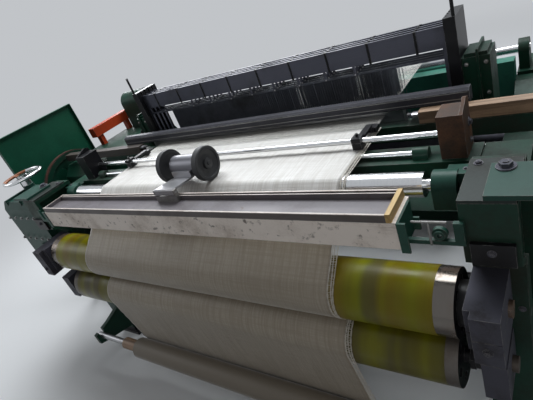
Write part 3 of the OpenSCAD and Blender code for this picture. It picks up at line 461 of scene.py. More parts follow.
@dataclass(frozen=True)
class Metal(Finish):
    """Bare or plated metal with drawn lines along one axis, stains and dulled patches."""

    axis: Axis = Axis.X
    roughness: float = 0.3
    stain_colour: Colour = (0.09, 0.06, 0.04)
    stain: float = 0.4
    lines: float = 0.4
    around: bool = True

    def surface(self, g: Graph) -> dict[str, Number]:
        """The metal\'s shader inputs.

        Args:
            g: the material's graph.

        Returns:
            Values and sockets by input name.
        """
        at = g.place()
        grain = self.axis.stretch(1.0, 0.04) if self.around else self.axis.stretch(0.03, 1.0)
        marks = g.shared("scratches", g.scaled(at, grain), Scale=420.0, Amount=0.45)
        dirt = g.shared("grime", at, Scale=7.0, Amount=self.stain)
        base = g.mix(g.times(dirt["Mask"], 0.8), self.colour, self.stain_colour)
        base = g.mix(g.times(marks["Height"], 0.35), base, tuple(c * 0.55 for c in self.colour))
        rough = g.math("ADD", self.roughness, g.times(dirt["Mask"], 0.4), clamp=True)
        rough = g.plus(rough, g.times(marks["Height"], 0.12 * self.lines))
        metal = g.minus(1.0, g.times(dirt["Mask"], 0.7))
        normal = g.bump(g.times(marks["Height"], self.lines), 0.0002, 0.5)
        return dict(Base_Color=base, Roughness=rough, Metallic=metal, Normal=normal)


@dataclass(frozen=True)
class Cast(Finish):
    """Rough casting or rusted iron with two tones and pits."""

    second: Colour = (0.1, 0.05, 0.03)
    roughness: float = 0.6
    metallic: float = 0.6
    pits: float = 0.6
    share: float = 0.5

    def surface(self, g: Graph) -> dict[str, Number]:
        """The casting\'s shader inputs.

        Args:
            g: the material's graph.

        Returns:
            Values and sockets by input name.
        """
        at = g.place()
        dirt = g.shared("grime", at, Scale=9.0, Amount=self.share)
        worn = g.shared("edge_wear", at, Radius=0.0022, Scale=50.0, Amount=0.55)
        base = g.mix(dirt["Mask"], self.colour, self.second)
        base = g.mix(g.times(worn[0], 0.7), base, (0.3, 0.29, 0.28))
        rough = g.blend(dirt["Mask"], self.roughness, min(1.0, self.roughness + 0.25))
        metal = g.times(g.minus(1.0, dirt["Mask"]), self.metallic)
        normal = g.bump(g.noise(at, 150.0, 4.0, 0.65), 0.0008, self.pits)
        gloss = dict(Roughness=rough, Metallic=metal, Specular_IOR_Level=0.25)
        return dict(Base_Color=base, Normal=normal, **gloss)


@dataclass(frozen=True)
class RollerCoat(Finish):
    """Yellow-green rubber coat with brown bands round the roller and oily streaks."""

    band: Colour = (0.05, 0.035, 0.012)
    bright: Colour = (0.3, 0.33, 0.03)
    dull: float = 0.3
    band_place: float = 0.745

    def surface(self, g: Graph) -> dict[str, Number]:
        """The coat\'s shader inputs.

        Args:
            g: the material's graph.

        Returns:
            Values and sockets by input name.
        """
        at = g.place()
        x = g.parts(at)[0]
        line = g.point(x)
        wide = g.noise(line, 9.0, 2.0, 0.5)
        fine = g.noise(line, 90.0, 3.0, 0.7)
        smear = g.noise(g.scaled(at, (5.0, 2.0, 2.0)), 2.2, 3.0, 0.5)
        base = g.mix(g.step(wide, 0.35, 0.62), self.bright, self.colour)
        base = g.mix(g.times(g.step(fine, 0.5, 0.8), 0.3), base, self.band)
        middle = g.math("ABSOLUTE", g.minus(g.math("ABSOLUTE", x), self.band_place))
        worn = g.times(g.step(middle, 0.035, 0.012), g.step(smear, 0.3, 0.6))
        base = g.mix(g.times(worn, 0.6), base, (0.05, 0.04, 0.03))
        base = g.mix(g.times(g.step(smear, 0.45, 0.8), 0.3 + self.dull), base, (0.07, 0.045, 0.012))
        rough = g.blend(g.step(smear, 0.4, 0.7), 0.28, 0.55)
        normal = g.bump(g.plus(g.times(fine, 0.5), g.times(g.noise(at, 400.0), 0.2)), 0.0003, 0.5)
        return dict(Base_Color=base, Roughness=rough, Specular_IOR_Level=0.25, Normal=normal)


@dataclass(frozen=True)
class Speckled(Finish):
    """Pale sheet with rust specks, stains and rubbed lines."""

    spot: Colour = (0.07, 0.045, 0.03)
    stain: Colour = (0.3, 0.22, 0.16)
    roughness: float = 0.5
    spots: float = 0.5

    def surface(self, g: Graph) -> dict[str, Number]:
        """The sheet\'s shader inputs.

        Args:
            g: the material's graph.

        Returns:
            Values and sockets by input name.
        """
        at = g.place()
        dirt = g.shared("grime", at, Scale=6.0, Amount=0.48)
        specks = g.step(g.noise(at, 42.0, 4.0, 0.6), 0.66 - 0.1 * self.spots, 0.79 - 0.1 * self.spots)
        drag = g.shared("scratches", g.scaled(at, (0.05, 1.0, 1.0)), Scale=260.0, Amount=0.42)
        worn = g.shared("edge_wear", at, Radius=0.002, Scale=70.0, Amount=0.62)
        base = g.mix(g.times(dirt["Mask"], 0.7), self.colour, self.stain)
        base = g.mix(g.times(drag["Mask"], 0.4), base, self.stain)
        base = g.mix(g.times(specks, 0.85), base, self.spot)
        base = g.mix(g.times(worn[0], 0.8), base, (0.12, 0.1, 0.09))
        rough = g.plus(self.roughness, g.times(dirt["Mask"], 0.25))
        height = g.minus(g.noise(at, 90.0, 3.0), g.times(specks, 0.8))
        return dict(Base_Color=base, Roughness=rough, Normal=g.bump(height, 0.0004, 0.6))


@dataclass(frozen=True)
class GlassCloth(Finish):
    """Plain glass cloth on the piece's UV in metres: weave, dense and thin streaks, satin sheen, and
    painted shade on the cloth below the breast roller.
    """

    shade: Colour = (0.42, 0.39, 0.34)
    # Tint that the cloth below the breast roller is multiplied by: painted shade for the dark loom
    # interior behind the cloth.
    painted_shade: Colour = (0.54, 0.48, 0.39)
    warp_pitch: float = 0.0021
    weft_pitch: float = 0.0023

    def surface(self, g: Graph) -> dict[str, Number]:
        """The cloth\'s shader inputs.

        Args:
            g: the material's graph.

        Returns:
            Values and sockets by input name.
        """
        uv = g.place("UV")
        weave = g.shared("weave", uv, Warp_pitch=self.warp_pitch, Weft_pitch=self.weft_pitch)
        along = g.noise(g.scaled(uv, (1.0, 0.03, 1.0)), 140.0, 3.0, 0.75)
        across = g.noise(g.scaled(uv, (0.03, 1.0, 1.0)), 130.0, 3.0, 0.75)
        streak = g.times(g.plus(along, across), 0.5)
        base = g.mix(g.times(g.step(along, 0.38, 0.62), 0.75), self.colour, self.shade)
        base = g.mix(g.times(g.step(across, 0.4, 0.65), 0.55), base, self.shade)
        cloud = g.noise(uv, 3.5, 4.0, 0.6)
        base = g.mix(g.times(g.step(cloud, 0.45, 0.75), 0.5), base, self.shade)
        base = g.mix(g.times(weave["Gap"], 0.6), base, (0.12, 0.11, 0.1))
        # Painted shade: below the breast roller the cloth is multiplied by a darker, warmer tint that
        # stands in for the shade of the dark loom interior behind it.
        below = g.step(g.parts(g.place())[2], 0.95, 0.86)
        base = g.mix(below, base, self.painted_shade, "MULTIPLY")
        height = g.plus(weave["Height"], g.times(streak, 0.4))
        rough, normal = g.blend(weave["Height"], 0.62, 0.42), g.bump(height, 0.0004, 0.6)
        sheen = dict(Sheen_Weight=0.6, Sheen_Roughness=0.3, Coat_Weight=0.08, Coat_Roughness=0.3)
        return dict(Base_Color=base, Roughness=rough, Normal=normal, **sheen)


@dataclass(frozen=True)
class Thread(Finish):
    """Glass yarn: twist lines along the thread and tone that differs from thread to thread."""

    shade: Colour = (0.5, 0.48, 0.44)
    twist: float = 900.0

    def surface(self, g: Graph) -> dict[str, Number]:
        """The yarn\'s shader inputs.

        Args:
            g: the material's graph.

        Returns:
            Values and sockets by input name.
        """
        at = g.place()
        line = g.point(g.parts(at)[0])
        tone = g.step(g.noise(line, 400.0, 2.0, 0.8), 0.3, 0.7)
        spiral = g.noise(at, self.twist, 1.0)
        base = g.mix(tone, self.colour, self.shade)
        base = g.mix(g.times(spiral, 0.3), base, self.shade)
        normal = g.bump(spiral, 0.0001, 0.5)
        return dict(Base_Color=base, Roughness=0.45, Normal=normal, Sheen_Weight=0.1)


@dataclass(frozen=True)
class Rubber(Finish):
    """Dark rubber or plastic with dust in the low places and rubbed high ones."""

    dust: Colour = (0.16, 0.15, 0.14)
    roughness: float = 0.55

    def surface(self, g: Graph) -> dict[str, Number]:
        """The rubber\'s shader inputs.

        Args:
            g: the material's graph.

        Returns:
            Values and sockets by input name.
        """
        at = g.place()
        dirt = g.shared("grime", at, Scale=16.0, Amount=0.45)
        worn = g.shared("edge_wear", at, Radius=0.002, Scale=90.0, Amount=0.6)
        base = g.mix(g.times(dirt["Mask"], 0.55), self.colour, self.dust)
        base = g.mix(g.times(worn[0], 0.5), base, tuple(min(1.0, c * 2.6 + 0.03) for c in self.colour))
        rough = g.blend(dirt["Tone"], self.roughness - 0.12, self.roughness + 0.2)
        normal = g.bump(g.noise(at, 500.0, 2.0), 0.0002, 0.5)
        return dict(Base_Color=base, Roughness=rough, Normal=normal)


@dataclass(frozen=True)
class Laminate(Finish):
    """Tan fabric laminate, leather or board with grain along one axis."""

    second: Colour = (0.2, 0.13, 0.08)
    axis: Axis = Axis.X
    roughness: float = 0.5
    grain: float = 60.0

    def surface(self, g: Graph) -> dict[str, Number]:
        """The grain\'s shader inputs.

        Args:
            g: the material's graph.

        Returns:
            Values and sockets by input name.
        """
        at = g.place()
        fibre = g.noise(g.scaled(at, self.axis.stretch(0.04, 1.0)), self.grain, 5.0, 0.7)
        dirt = g.shared("grime", at, Scale=8.0, Amount=0.45)
        base = g.mix(g.step(fibre, 0.38, 0.68), self.colour, self.second)
        base = g.mix(g.times(dirt["Mask"], 0.5), base, (0.05, 0.04, 0.03))
        return dict(Base_Color=base, Roughness=self.roughness, Normal=g.bump(fibre, 0.0004, 0.5))


class Palette:
    """The loom's finishes."""

    green = Paint("green_enamel", (0.006, 0.04, 0.024), grime=0.5, roughness=0.38)
    teal = Paint("teal_enamel", (0.015, 0.058, 0.044), grime=0.42, variation=0.25, wear=0.55)
    plate = Paint("grey_green_enamel", (0.018, 0.027, 0.024), grime=0.5, variation=0.3, wear=0.5)
    bright_green = Paint("sea_green_enamel", (0.035, 0.18, 0.13), grime=0.4, variation=0.3)
    bracket = Paint("deep_teal_enamel", (0.02, 0.075, 0.055), grime=0.42)
    guard = Paint("guard_enamel", (0.008, 0.08, 0.045), grime=0.33, cast=0.08, wear=0.4)
    orange = Paint("orange_enamel", (0.46, 0.055, 0.015), grime=0.35, cast=0.08)
    motor = Paint("blue_grey_enamel", (0.035, 0.075, 0.1), grime=0.5)
    cap = Paint(
        "grey_enamel", (0.04, 0.04, 0.05), grime=0.35, wear=0.6, cast=0.1, bare_colour=(0.3, 0.3, 0.31)
    )
    black = Paint(
        "blackened_steel", (0.008, 0.008, 0.01), grime=0.4, roughness=0.35, bare_colour=(0.2, 0.2, 0.2)
    )
    slate = Metal(
        "slate_alloy", (0.085, 0.088, 0.11), roughness=0.42, around=False, stain=0.42,
        stain_colour=(0.02, 0.02, 0.022),
    )
    heald = Metal(
        "heald_steel", (0.13, 0.14, 0.165), Axis.Z, roughness=0.5, around=False, stain=0.5,
        stain_colour=(0.012, 0.011, 0.01),
    )
    chrome = Metal("chrome_plate", (0.78, 0.79, 0.8), roughness=0.2, stain=0.3, lines=0.05)
    steel = Metal("bare_steel", (0.36, 0.36, 0.37), roughness=0.3, stain=0.42)
    # Its orange-brown stain colour is partly real staining and partly a painted orange-brown reflection on
    # the turned end rings.
    bright = Metal(
        "turned_steel", (0.16, 0.145, 0.13), roughness=0.13, stain=0.5, stain_colour=(0.15, 0.06, 0.015)
    )
    dull_ring = Metal(
        "dull_ring_steel", (0.11, 0.1, 0.09), roughness=0.36, stain=0.55, stain_colour=(0.06, 0.035, 0.02)
    )
    barrel = Metal("barrel_steel", (0.16, 0.16, 0.175), roughness=0.3, stain=0.45, lines=0.8)
    zinc = Metal("zinc_steel", (0.27, 0.27, 0.265), roughness=0.36, stain=0.45, around=False)
    flat_bar = Metal("flat_steel", (0.34, 0.34, 0.355), Axis.Y, roughness=0.33, stain=0.42, around=False)
    rust = Cast(
        "rusted_block", (0.035, 0.023, 0.017), second=(0.13, 0.058, 0.03), metallic=0.3, share=0.58
    )
    casting = Cast(
        "grey_casting", (0.06, 0.06, 0.078), second=(0.022, 0.02, 0.018), metallic=0.3, share=0.45
    )
    coat_upper = RollerCoat("upper_roller_coat", (0.17, 0.12, 0.002), bright=(0.2, 0.21, 0.003), dull=0.0)
    # The lower coat is a darker copy of the upper coat: painted shade for the lower roller, which sits in
    # shade under the upper one.
    coat_lower = RollerCoat(
        "lower_roller_coat", (0.07, 0.058, 0.01), bright=(0.17, 0.165, 0.004), dull=0.25
    )
    beam = Speckled("speckled_enamel", (0.95, 0.87, 0.8), spots=0.8)
    tray = Speckled(
        "tray_sheet", (0.12, 0.108, 0.12), stain=(0.06, 0.05, 0.05), spots=0.3, roughness=0.42
    )
    rim = Speckled("tray_rim", (0.56, 0.5, 0.46), stain=(0.25, 0.19, 0.16), spots=0.4, roughness=0.45)
    rim_front = Speckled(
        "tray_front", (0.075, 0.06, 0.055), stain=(0.03, 0.022, 0.02), spots=0.3, roughness=0.4
    )
    cloth = GlassCloth("glass_cloth", (0.7, 0.69, 0.67), shade=(0.49, 0.465, 0.43))
    thread = Thread("warp_thread", (0.74, 0.725, 0.69))
    edge_thread = Thread("selvedge_thread", (0.85, 0.82, 0.76), shade=(0.5, 0.46, 0.4))
    wheel = Rubber("wheel_rubber", (0.012, 0.013, 0.015), dust=(0.04, 0.04, 0.042))
    belt = Rubber("belt_rubber", (0.012, 0.012, 0.012))
    oily = Laminate("oily_laminate", (0.05, 0.038, 0.031), second=(0.024, 0.019, 0.017))
    laminate = Laminate("tan_laminate", (0.33, 0.215, 0.135), second=(0.15, 0.09, 0.055))
    lining = Laminate("brake_lining", (0.075, 0.026, 0.018), second=(0.035, 0.014, 0.011), grain=90.0)
    grip = Laminate("brown_grip", (0.3, 0.1, 0.035), second=(0.14, 0.05, 0.02), grain=90.0)
    board = Laminate("plain_board", (0.5, 0.34, 0.12), second=(0.3, 0.17, 0.05), axis=Axis.Y)


# Meshes


@dataclass
class MeshMaker:
    """Collects faces of one piece and makes its object."""

    name: str
    vertices: list[Point] = field(default_factory=list)
    faces: list[tuple[int, ...]] = field(default_factory=list)
    slots: list[int] = field(default_factory=list)
    uvs: list[tuple[float, float]] = field(default_factory=list)

    def add(self, vertices: Sequence[Point], faces: Sequence[Sequence[int]], slot: int = 0) -> None:
        """Adds vertices and the faces that use them.

        Args:
            vertices: points of the new shape.
            faces: rows of numbers into those points.
            slot: the material slot of the faces.
        """
        start = len(self.vertices)
        self.vertices += [tuple(v) for v in vertices]
        self.faces += [tuple(start + i for i in f) for f in faces]
        self.slots += [slot] * len(faces)

    def box(self, low: Point, high: Point, slot: int = 0) -> None:
        """A box between two corners.

        Args:
            low: the lowest corner.
            high: the highest corner.
            slot: the material slot of the faces.
        """
        v = [(x, y, z) for x in (low[0], high[0]) for y in (low[1], high[1]) for z in (low[2], high[2])]
        f = [(0, 1, 3, 2), (4, 6, 7, 5), (0, 4, 5, 1), (2, 3, 7, 6), (0, 2, 6, 4), (1, 5, 7, 3)]
        self.add(v, f, slot)

    def lathe(
        self, profile: Sequence[tuple[float, float]], centre: Point, axis: Axis = Axis.X, steps: int = 48,
        slot: int = 0, flip: bool = False,
    ) -> None:
        """Turns a profile round an axis; a point with radius 0 closes an end.

        Args:
            profile: (place along the axis, radius) pairs, in order.
            centre: a point on the axis, from which the places count.
            axis: the direction of the axis.
            steps: faces round the axis.
            slot: the material slot of the faces.
            flip: turns the faces round, for a profile that runs backwards.
        """
        order = [axis.value, (axis.value + 1) % 3, (axis.value + 2) % 3]
        rings, vertices, faces = [], [], []
        for along, radius in profile:
            count = 1 if radius < 1e-7 else steps
            rings.append(range(len(vertices), len(vertices) + count))
            for i in range(count):
                angle = 2 * math.pi * i / steps
                local = (along, radius * math.cos(angle), radius * math.sin(angle))
                point = [0.0, 0.0, 0.0]
                for k, j in enumerate(order):
                    point[j] = centre[j] + local[k]
                vertices.append(tuple(point))
        for a, b in zip(rings, rings[1:]):
            for i in range(steps):
                j = (i + 1) % steps
                face = (a[i % len(a)], a[j % len(a)], b[j % len(b)], b[i % len(b)])
                face = tuple(dict.fromkeys(face))
                if len(face) > 2:
                    faces.append(face if flip else face[::-1])
        self.add(vertices, faces, slot)

    def tube(self, path: Sequence[Point], radius: float, sides: int = 8, slot: int = 0) -> None:
        """A round tube along a path, closed at both ends.

        Args:
            path: points of the centreline.
            radius: the tube's radius.
            sides: faces round it.
            slot: the material slot of the faces.
        """
        points = [Vector(p) for p in path]
        normal = None
        vertices, faces = [], []
        for i, point in enumerate(points):
            ahead = (points[min(i + 1, len(points) - 1)] - points[max(i - 1, 0)]).normalized()
            if normal is None:
                normal = ahead.orthogonal().normalized()
            normal = (normal - ahead * normal.dot(ahead)).normalized()
            side = ahead.cross(normal)
            for k in range(sides):
                a = 2 * math.pi * k / sides
                vertices.append(tuple(point + radius * (math.cos(a) * normal + math.sin(a) * side)))
        for i in range(len(points) - 1):
            for k in range(sides):
                j = (k + 1) % sides
                faces.append((i * sides + k, i * sides + j, (i + 1) * sides + j, (i + 1) * sides + k))
        last = (len(points) - 1) * sides
        faces.append(tuple(range(sides))[::-1])
        faces.append(tuple(range(last, last + sides)))
        self.add(vertices, faces, slot)

    def build(
        self, finishes: Sequence[Finish], bevel: float = 0.0, smooth: float = 35.0
    ) -> bpy.types.Object:
        """Makes the object.

        Args:
            finishes: one finish for each material slot.
            bevel: width of the rounded edges, or 0 for none.
            smooth: angle in degrees under which faces shade smoothly.

        Returns:
            The new object, linked to the scene.
        """
        mesh = bpy.data.meshes.new(self.name)
        mesh.from_pydata(self.vertices, [], self.faces)
        for finish in finishes:
            mesh.materials.append(finish.material())
        mesh.polygons.foreach_set("material_index", self.slots)
        if self.uvs:
            layer = mesh.uv_layers.new(name="UVMap")
            for loop in mesh.loops:
                layer.data[loop.index].uv = self.uvs[loop.vertex_index]
        thing = bpy.data.objects.new(self.name, mesh)
        bpy.context.scene.collection.objects.link(thing)
        if bevel:
            modifier = thing.modifiers.new("edges", "BEVEL")
            modifier.width, modifier.segments, modifier.limit_method = bevel, 2, "ANGLE"
            modifier.angle_limit = math.radians(40)
        mesh.shade_smooth()
        mesh.set_sharp_from_angle(angle=math.radians(smooth))
        return thing


class Nodes:
    """The CAD nodes and how they are dressed."""

    def __init__(self, frame: dict[str, dict]) -> None:
        self.objects = frame["nodes"]

    def dress(self, finish: Finish, *names: str) -> None:
        """Gives CAD nodes one finish.

        Args:
            finish: the finish.
            names: the nodes.
        """
        for name in names:
            slots = self.objects[name].data.materials
            slots.clear()
            slots.append(finish.material())

    def zones(self, name: str, finishes: Sequence[Finish], pick: Callable[[Vector, Vector], int]) -> None:
        """Gives a CAD node a finish for each of its faces.

        Args:
            name: the node.
            finishes: the finishes.
            pick: number of the finish for a face, from its middle and its normal.
        """
        mesh = self.objects[name].data
        mesh.materials.clear()
        for finish in finishes:
            mesh.materials.append(finish.material())
        for face in mesh.polygons:
            face.material_index = pick(face.center, face.normal)


def on_left(at: Vector, normal: Vector) -> int:
    """Zone 0 on the loom's right side and 1 on its left."""
    return 0 if at.x > 0 else 1


def across(side: int, a: float, b: float) -> list[float]:
    """Two places along X on one side of the loom, the lower one first."""
    return sorted((side * a, side * b))


def grid(
    xs: Sequence[float], ys: Sequence[float], zs: Sequence[float], facing: Point, radius: float
) -> list[Spot]:
    """Screws of one size at every mix of places along X, Y and Z, which all face one way."""
    return [((x, y, z), facing, radius) for x in xs for y in ys for z in zs]


def middle(node: str) -> Vector:
    """The middle of a CAD node's box."""
    low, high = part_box(node)
    return (low + high) / 2


# Geometry trees


class GeometryTree:
    """A Geometry Nodes tree with named inputs, run once on a host mesh and turned into a plain mesh."""

    def __init__(self, name: str, inputs: dict[str, float | int | Finish]) -> None:
        """Makes the tree and its sockets.

        Args:
            name: the tree's name.
            inputs: default values by socket name; a finish makes a material socket.
        """
        self.tree = bpy.data.node_groups.new(name, "GeometryNodeTree")
        self.graph = Graph(self.tree)
        face = self.tree.interface
        face.new_socket("Geometry", in_out="INPUT", socket_type="NodeSocketGeometry")
        self.defaults = dict(inputs)
        kinds = {int: "NodeSocketInt", float: "NodeSocketFloat"}
        self.sockets = {
            key: face.new_socket(
                key, in_out="INPUT", socket_type=kinds.get(type(value), "NodeSocketMaterial")
            ).identifier
            for key, value in inputs.items()
        }
        face.new_socket("Geometry", in_out="OUTPUT", socket_type="NodeSocketGeometry")
        self.ins = self.graph.add("NodeGroupInput").outputs

    def row(self, y: Number = 0.0, z: Number = 0.0) -> Socket:
        """Count points along X that begin at First and are Step apart.

        Args:
            y: their place along Y.
            z: their place along Z.

        Returns:
            The points.
        """
        g, ins = self.graph, self.ins
        line = {"Start Location": g.point(ins["First"], y, z), "Offset": g.point(ins["Step"])}
        return g.out("GeometryNodeMeshLine", {"Count": ins["Count"], **line}, mode="OFFSET")

    def close(self, instances: Socket) -> GeometryTree:
        """Ends the tree in Realize Instances and Set Material.

        Args:
            instances: what the tree has made.

        Returns:
            The finished tree.
        """
        g = self.graph
        real = g.out("GeometryNodeRealizeInstances", {0: instances})
        flat = g.out("GeometryNodeSetShadeSmooth", {"Geometry": real, "Shade Smooth": False})
        done = g.out("GeometryNodeSetMaterial", {"Geometry": flat, "Material": self.ins["Material"]})
        g.add("NodeGroupOutput", {0: done})
        return self

    def run(self, name: str, host: bpy.types.Mesh, **values: float | int | Finish) -> bpy.types.Object:
        """Runs the tree on a host mesh.

        Args:
            name: the new piece's name.
            host: the mesh that the modifier stands on.
            values: inputs that differ from the defaults, with _ for a space.

        Returns:
            The piece with its plain mesh, linked to the scene.
        """
        thing = bpy.data.objects.new(name, host)
        bpy.context.scene.collection.objects.link(thing)
        modifier = thing.modifiers.new("grow", "NODES")
        modifier.node_group = self.tree
        chosen = {**self.defaults, **{k.replace("_", " "): v for k, v in values.items()}}
        for key, value in chosen.items():
            modifier[self.sockets[key]] = value.material() if isinstance(value, Finish) else value
        graph = bpy.context.evaluated_depsgraph_get()
        mesh = bpy.data.meshes.new_from_object(thing.evaluated_get(graph), depsgraph=graph)
        thing.modifiers.remove(modifier)
        thing.data = mesh
        return thing


def points_mesh(
    points: Sequence[Point] = ((0.0, 0.0, 0.0),), edges: Sequence[tuple[int, int]] = (),
    **attributes: Sequence[float] | Sequence[Point],
) -> bpy.types.Mesh:
    """A mesh of points with named attributes.

    Args:
        points: places of the vertices; one at the origin if none are given.
        edges: pairs of numbers into points.
        attributes: a list of vectors for each vector attribute, or of numbers for each number.

    Returns:
        The mesh.
    """
    mesh = bpy.data.meshes.new("points")
    mesh.from_pydata([tuple(p) for p in points], [tuple(e) for e in edges], [])
    for key, values in attributes.items():
        vector = hasattr(values[0], "__len__")
        layer = mesh.attributes.new(key, "FLOAT_VECTOR" if vector else "FLOAT", "POINT")
        flat = np.array(values, np.float32).ravel()
        layer.data.foreach_set("vector" if vector else "value", flat)
    return mesh


class Fasteners:
    """Screw heads that Geometry Nodes set on chosen points."""

    def __init__(self) -> None:
        """Builds the tree: a washer and a hexagon head with a chamfered top."""
        self.tree = GeometryTree("screw_heads", {"Sides": 6, "Material": Palette.zinc})
        g, sides = self.tree.graph, self.tree.ins["Sides"]
        washer = g.out("GeometryNodeMeshCylinder", {"Vertices": 16, "Radius": 1.25, "Depth": 0.25})
        head = g.out("GeometryNodeMeshCylinder", {"Vertices": sides, "Radius": 1.0, "Depth": 0.8})
        cap = {"Vertices": sides, "Radius Top": 0.72, "Radius Bottom": 1.0, "Depth": 0.14}
        cap = g.out("GeometryNodeMeshCone", cap)
        screw = g.join([g.moved(part, (0, 0, z)) for part, z in ((washer, 0.12), (head, 0.6), (cap, 1.0))])
        align = {"Vector": g.attribute("facing", "FLOAT_VECTOR")}
        align = g.out("FunctionNodeAlignRotationToVector", align, axis="Z")
        twist = g.point(z=g.chance(0.0, 1.0, SEED))
        local = g.out("FunctionNodeRotateRotation", {0: align, 1: twist}, rotation_space="LOCAL")
        size = g.attribute("size", "FLOAT")
        placed = g.copies(self.tree.ins["Geometry"], screw, Rotation=local, Scale=size)
        self.tree.close(placed)

    def set(
        self, name: str, body: str, spots: Sequence[Spot], finish: Finish, sides: int = 6,
        slot: str = "bare_steel",
    ) -> bpy.types.Object:
        """Sets screw heads on a body.

        Args:
            name: the piece's name.
            body: the body that they ride on.
            spots: place, outward direction and head radius of each screw.
            finish: their finish.
            sides: sides of the head: 6 for a hexagon, more for a round one.
            slot: not used.

        Returns:
            The piece.
        """
        places, facing, size = zip(*spots)
        host = points_mesh(places, facing=facing, size=size)
        piece = self.tree.run(name, host, Material=finish, Sides=sides)
        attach(piece, body)
        return piece


# Sheets led over rollers


@dataclass(frozen=True)
class Wrap:
    """A roller that a sheet passes, seen along X: centre, radius of the sheet's middle and sense."""

    y: float
    z: float
    radius: float
    turn: int

    @classmethod
    def round(cls, node: str, turn: int, lift: float, radius: float | None = None) -> Wrap:
        """A wrap round a CAD roller.

        Args:
            node: the roller's node.
            turn: +1 anticlockwise seen from +X, -1 clockwise.
            lift: from the roller's surface to the sheet's middle.
            radius: the roller's radius, or None for half its height.

        Returns:
            The wrap.
        """
        low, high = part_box(node)
        centre = (low + high) / 2
        return cls(centre.y, centre.z, (radius or (high.z - low.z) / 2) + lift, turn)


def off_line(y: float, z: float, heading: float, rise: float) -> tuple[float, float]:
    """A point that stands off a sheet's line, square to its heading."""
    return y - math.sin(heading) * rise, z + math.cos(heading) * rise


@dataclass
class LedPath:
    """The middle line of a sheet that runs over a list of wraps."""

    wraps: Sequence[Wrap]
    first: float
    last: float
    step: float = 0.02
    arc: float = 5.0

    @staticmethod
    def heading(a: Wrap, b: Wrap) -> float:
        """Heading in degrees of the straight run between two wraps.

        Args:
            a: the wrap that the run leaves.
            b: the wrap that it reaches.

        Returns:
            The heading.
        """
        dy, dz = b.y - a.y, b.z - a.z
        lean = (b.radius * b.turn - a.radius * a.turn) / math.hypot(dy, dz)
        return math.degrees(math.atan2(dz, dy) - math.asin(lean))

    def rows(self) -> list[tuple[float, float, float, float, float]]:
        """Points along the line.

        Returns:
            Rows of y, z, heading in radians, length from the start, and how free of rollers the point is.
        """
        runs = [self.heading(a, b) for a, b in zip(self.wraps, self.wraps[1:])]
        headings = [self.first, *runs, self.last]
        line: list[tuple[float, float, float, float]] = []
        for i, wrap in enumerate(self.wraps):
            sweep = wrap.turn * ((wrap.turn * (headings[i + 1] - headings[i])) % 360)
            if wrap.radius < 1e-6:
                sweep, start = 0.0, headings[i + 1]
            else:
                start = headings[i]
            count = max(1, math.ceil(abs(sweep) / self.arc))
            for j in range(count + 1 if wrap.radius > 1e-6 else 1):
                a = math.radians(start + sweep * j / count)
                y = wrap.y + wrap.radius * wrap.turn * math.sin(a)
                z = wrap.z - wrap.radius * wrap.turn * math.cos(a)
                if line and j == 0:
                    y0, z0, _, _ = line[-1]
                    gap = math.hypot(y - y0, z - z0)
                    cuts = max(1, round(gap / self.step))
                    for k in range(1, cuts):
                        t = k / cuts
                        line.append((y0 + (y - y0) * t, z0 + (z - z0) * t, a, min(t, 1 - t) * gap))
                line.append((y, z, a, 0.0))
        rows, length = [], 0.0
        for i, (y, z, a, free) in enumerate(line):
            if i:
                length += math.hypot(y - line[i - 1][0], z - line[i - 1][1])
            rows.append((y, z, a, length, free))
        return rows


# Sub-assemblies


@dataclass
class Assembly:
    """A sub-assembly of CAD nodes to dress, with screws to set on them."""

    nodes: Nodes
    screws: Fasteners


